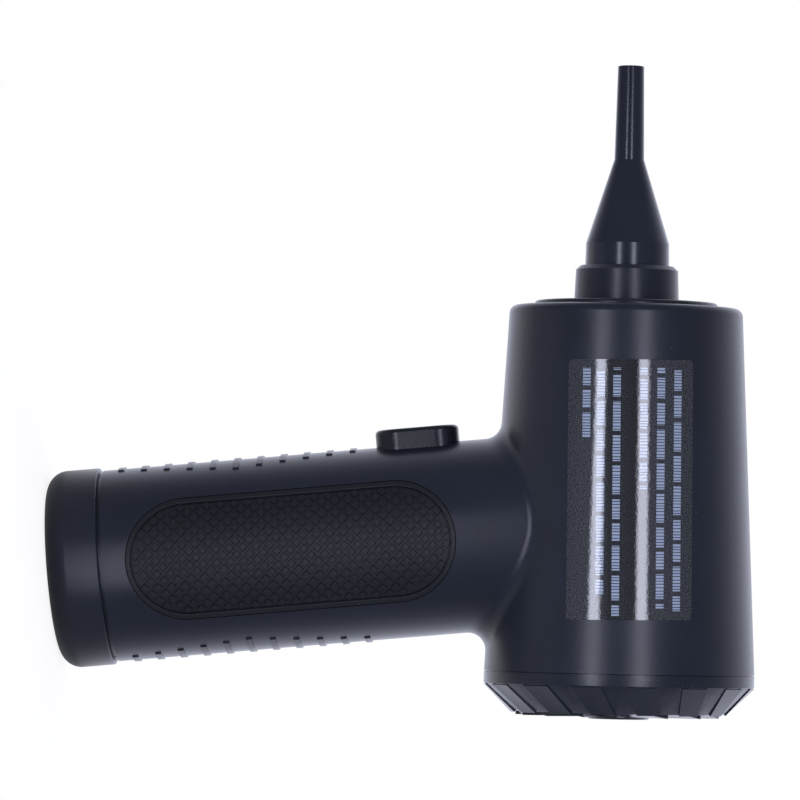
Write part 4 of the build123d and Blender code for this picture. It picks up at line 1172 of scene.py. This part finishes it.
@dataclass
class Studio:
    """Pale floor, white table behind, dim room in front, and two soft strips.

    Sizes are in metres. The falloff gives the surroundings' brightness from the viewer's side, 0, to
    straight behind, 1, as shares of the brightness behind. In gloss the floor takes near_share of it
    in front of near_edge, and far_share beyond far_edge.
    """

    strips: tuple = (SoftStrip("strip_low", -20.5), SoftStrip("strip_high", 18.8))
    floor_size: float = 0.24
    floor_thickness: float = 0.006
    floor_rim: float = 0.0018
    floor_gap: float = 0.00005
    floor_fibre: float = 0.00027
    floor_glow: float = 0.86
    behind: float = 1.55
    dark_side: tuple = (0.05, 0.996, -0.07)
    falloff: tuple = (
        (0.0, 0.03),
        (0.03, 0.04),
        (0.1, 0.12),
        (0.46, 0.12),
        (0.63, 0.27),
        (0.83, 0.68),
        (0.95, 1.0),
    )
    near_edge: float = 0.0
    far_edge: float = -0.09
    near_share: float = 0.12
    far_share: float = 0.55

    def floor(self) -> bpy.types.Object:
        """Lay a pale floor just under the base, with a rounded rim.

        Returns:
            The floor.
        """
        bm = bmesh.new()
        bmesh.ops.create_circle(bm, cap_ends=True, segments=96, radius=self.floor_size / 2)
        top = bm.faces[:]
        lower = bmesh.ops.extrude_face_region(bm, geom=top)["geom"]
        under = [part for part in lower if isinstance(part, bmesh.types.BMVert)]
        bmesh.ops.translate(bm, vec=(0.0, 0.0, -self.floor_thickness), verts=under)
        rim = [edge for edge in bm.edges if edge.calc_face_angle(0.0) > 1.0]
        bmesh.ops.bevel(
            bm, geom=rim, offset=self.floor_rim, segments=3, affect="EDGES", profile=0.5, material=-1
        )
        bmesh.ops.recalc_face_normals(bm, faces=bm.faces)
        bmesh.ops.translate(bm, vec=(0.0, 0.0, CAD_BOX[0][2] - self.floor_gap), verts=bm.verts)
        mesh = bpy.data.meshes.new("studio_floor")
        bm.to_mesh(mesh)
        bm.free()
        floor = bpy.data.objects.new("studio_floor", mesh)
        bpy.context.scene.collection.objects.link(floor)
        floor.data.materials.append(self.paper())
        return floor

    def paper(self) -> bpy.types.Material:
        """Make the floor's white paper: faint fibres, matt, and bright to the eye.

        Returns:
            The material.
        """
        made = bpy.data.materials.new("white_sweep_paper")
        made.use_nodes = True
        tree = made.node_tree
        tree.nodes.clear()
        place = add_node(tree, "TexCoord").outputs["Object"]
        fibre = add_node(tree, "TexNoise", {"Vector": place, "Scale": 1 / self.floor_fibre, "Detail": 2.0})
        paper = add_node(tree, "ValToRGB", {"Fac": fibre}, stops=((0.3, "#9C9C9E"), (0.7, "#A4A4A6")))
        diffuse = add_node(tree, "BsdfDiffuse", {"Color": paper})
        shine = add_node(tree, "Emission", {"Color": "#FFFFFF", "Strength": self.glow(tree, place)})
        both = add_node(tree, "AddShader", {0: diffuse, 1: shine})
        add_node(tree, "OutputMaterial", {"Surface": both})
        return made

    def glow(self, tree: Tree, place: Socket) -> Node:
        """Build the floor's glow: white to the eye and through glass; in gloss, dim in front, bright behind.

        Args:
            tree: Node tree of the floor.
            place: Point on the floor, in metres.

        Returns:
            Node that gives the glow's strength.
        """
        path = add_node(tree, "LightPath")
        lit = add_node(
            tree, "Math", {0: self.clear_path(tree, path), 1: self.floor_glow}, operation="MULTIPLY"
        )
        depth = add_node(tree, "SeparateXYZ", {"Vector": place}).outputs["Y"]
        level = add_node(
            tree,
            "MapRange",
            {
                "Value": depth,
                "From Min": self.near_edge,
                "From Max": self.far_edge,
                "To Min": self.near_share * self.behind,
                "To Max": self.far_share * self.behind,
            },
        )
        shown = add_node(tree, "Math", {0: path.outputs["Is Glossy Ray"], 1: level}, operation="MULTIPLY")
        return add_node(tree, "Math", {0: lit, 1: shown}, operation="ADD")

    def clear_path(self, tree: Tree, path: Node) -> Node:
        """Node that gives 1 for what the eye sees directly or through glass."""
        return add_node(
            tree,
            "Math",
            {0: path.outputs["Is Camera Ray"], 1: path.outputs["Is Transmission Ray"]},
            operation="MAXIMUM",
        )

    def surroundings(self) -> None:
        """Give the world its white table behind the blower and its dim room in front."""
        world = bpy.data.worlds.new("studio_room")
        bpy.context.scene.world = world
        world.use_nodes = True
        tree = world.node_tree
        tree.nodes.clear()
        way = add_node(tree, "TexCoord").outputs["Generated"]
        lean = add_node(tree, "VectorMath", {0: way, 1: self.dark_side}, operation="DOT_PRODUCT")
        place = add_node(tree, "MapRange", {"Value": lean, "From Min": 1.0, "From Max": -1.0})
        level = add_node(tree, "ValToRGB", {"Fac": place}, stops=self.falloff)
        scaled = add_node(tree, "Math", {0: level, 1: self.behind}, operation="MULTIPLY")
        room = add_node(tree, "Background", {"Color": DAYLIGHT, "Strength": scaled})
        table = add_node(tree, "Background", {"Color": "#FFFFFF", "Strength": 1.0})
        clear = self.clear_path(tree, add_node(tree, "LightPath"))
        both = add_node(tree, "MixShader", {0: clear, 1: room, 2: table})
        add_node(tree, "OutputWorld", {"Surface": both})

    def build(self) -> None:
        """Set up floor, world and strips."""
        bpy.context.scene.view_settings.view_transform = "Standard"
        self.floor()
        self.surroundings()
        for strip in self.strips:
            strip.build()


@dataclass
class Viewpoint:
    """Camera that looks at the left side with the grip lying across its view.

    Roll is the grip's slant in the view, in degrees. Rightward and upward lead from where the two axes
    cross to what the camera looks at, and view_width is what it sees across there, all in millimetres.
    Distance is in metres, and towards points from the blower to the camera.
    """

    roll: float = 4.69
    rightward: float = -53.9
    upward: float = 30.1
    view_width: float = 194.41
    distance: float = 1.6
    towards: tuple = (-0.035, 0.998, 0.055)
    sensor: float = 36.0

    def build(self) -> bpy.types.Object:
        """Place the camera and make it the scene's.

        Returns:
            The camera.
        """
        roll = math.radians(self.roll)
        right = Vector((-math.sin(roll), 0.0, math.cos(roll)))
        up = Vector((math.cos(roll), 0.0, math.sin(roll)))
        target = Vector(Barrel.joint()["pos_m"]) + (self.rightward * right + self.upward * up) * MM
        back = Vector(self.towards).normalized()
        right = up.cross(back).normalized()
        up = back.cross(right)
        camera = bpy.data.cameras.new("viewpoint")
        camera.sensor_width = self.sensor
        camera.lens = self.sensor * self.distance / (self.view_width * MM)
        eye = bpy.data.objects.new("viewpoint", camera)
        bpy.context.scene.collection.objects.link(eye)
        facing = Matrix((right, up, back)).transposed().to_4x4()
        eye.matrix_world = Matrix.Translation(target + self.distance * back) @ facing
        bpy.context.scene.camera = eye
        return eye


# ---------------------------------------------------------------- the whole blower


@dataclass
class AirBlower:
    """The dressed blower: every CAD node in its finish, and the fine pieces over the plain ones."""

    palette: Palette = field(default_factory=Palette)

    def dress(self) -> None:
        """Put each CAD node in the finish of the slot that it was packed with."""
        finishes = self.palette.by_slot()
        for name, node in frame["nodes"].items():
            for place in node.material_slots:
                slot = place.material.name.split(".")[0]
                place.material = finishes[slot].material()
                LOG.info("dressed %s in %s", name, slot)

    def build(self) -> None:
        """Dress the frame and build each fine piece."""
        self.dress()
        GripPad("grip_pad_left", 1, self.palette.grip).build()
        GripPad("grip_pad_right", -1, self.palette.grip).build()
        LabelSheet(self.palette.film).build()
        IntakeCover(self.palette.cover).build()
        WireScreen(self.palette.mesh).build()
        FoamDisc(self.palette.foam).build()


def main() -> None:
    """Build the camera, the studio and the blower."""
    logging.basicConfig(level=logging.INFO, format="%(name)s: %(message)s")
    Viewpoint().build()
    Studio().build()
    AirBlower().build()


if __name__ == "__main__":
    main()
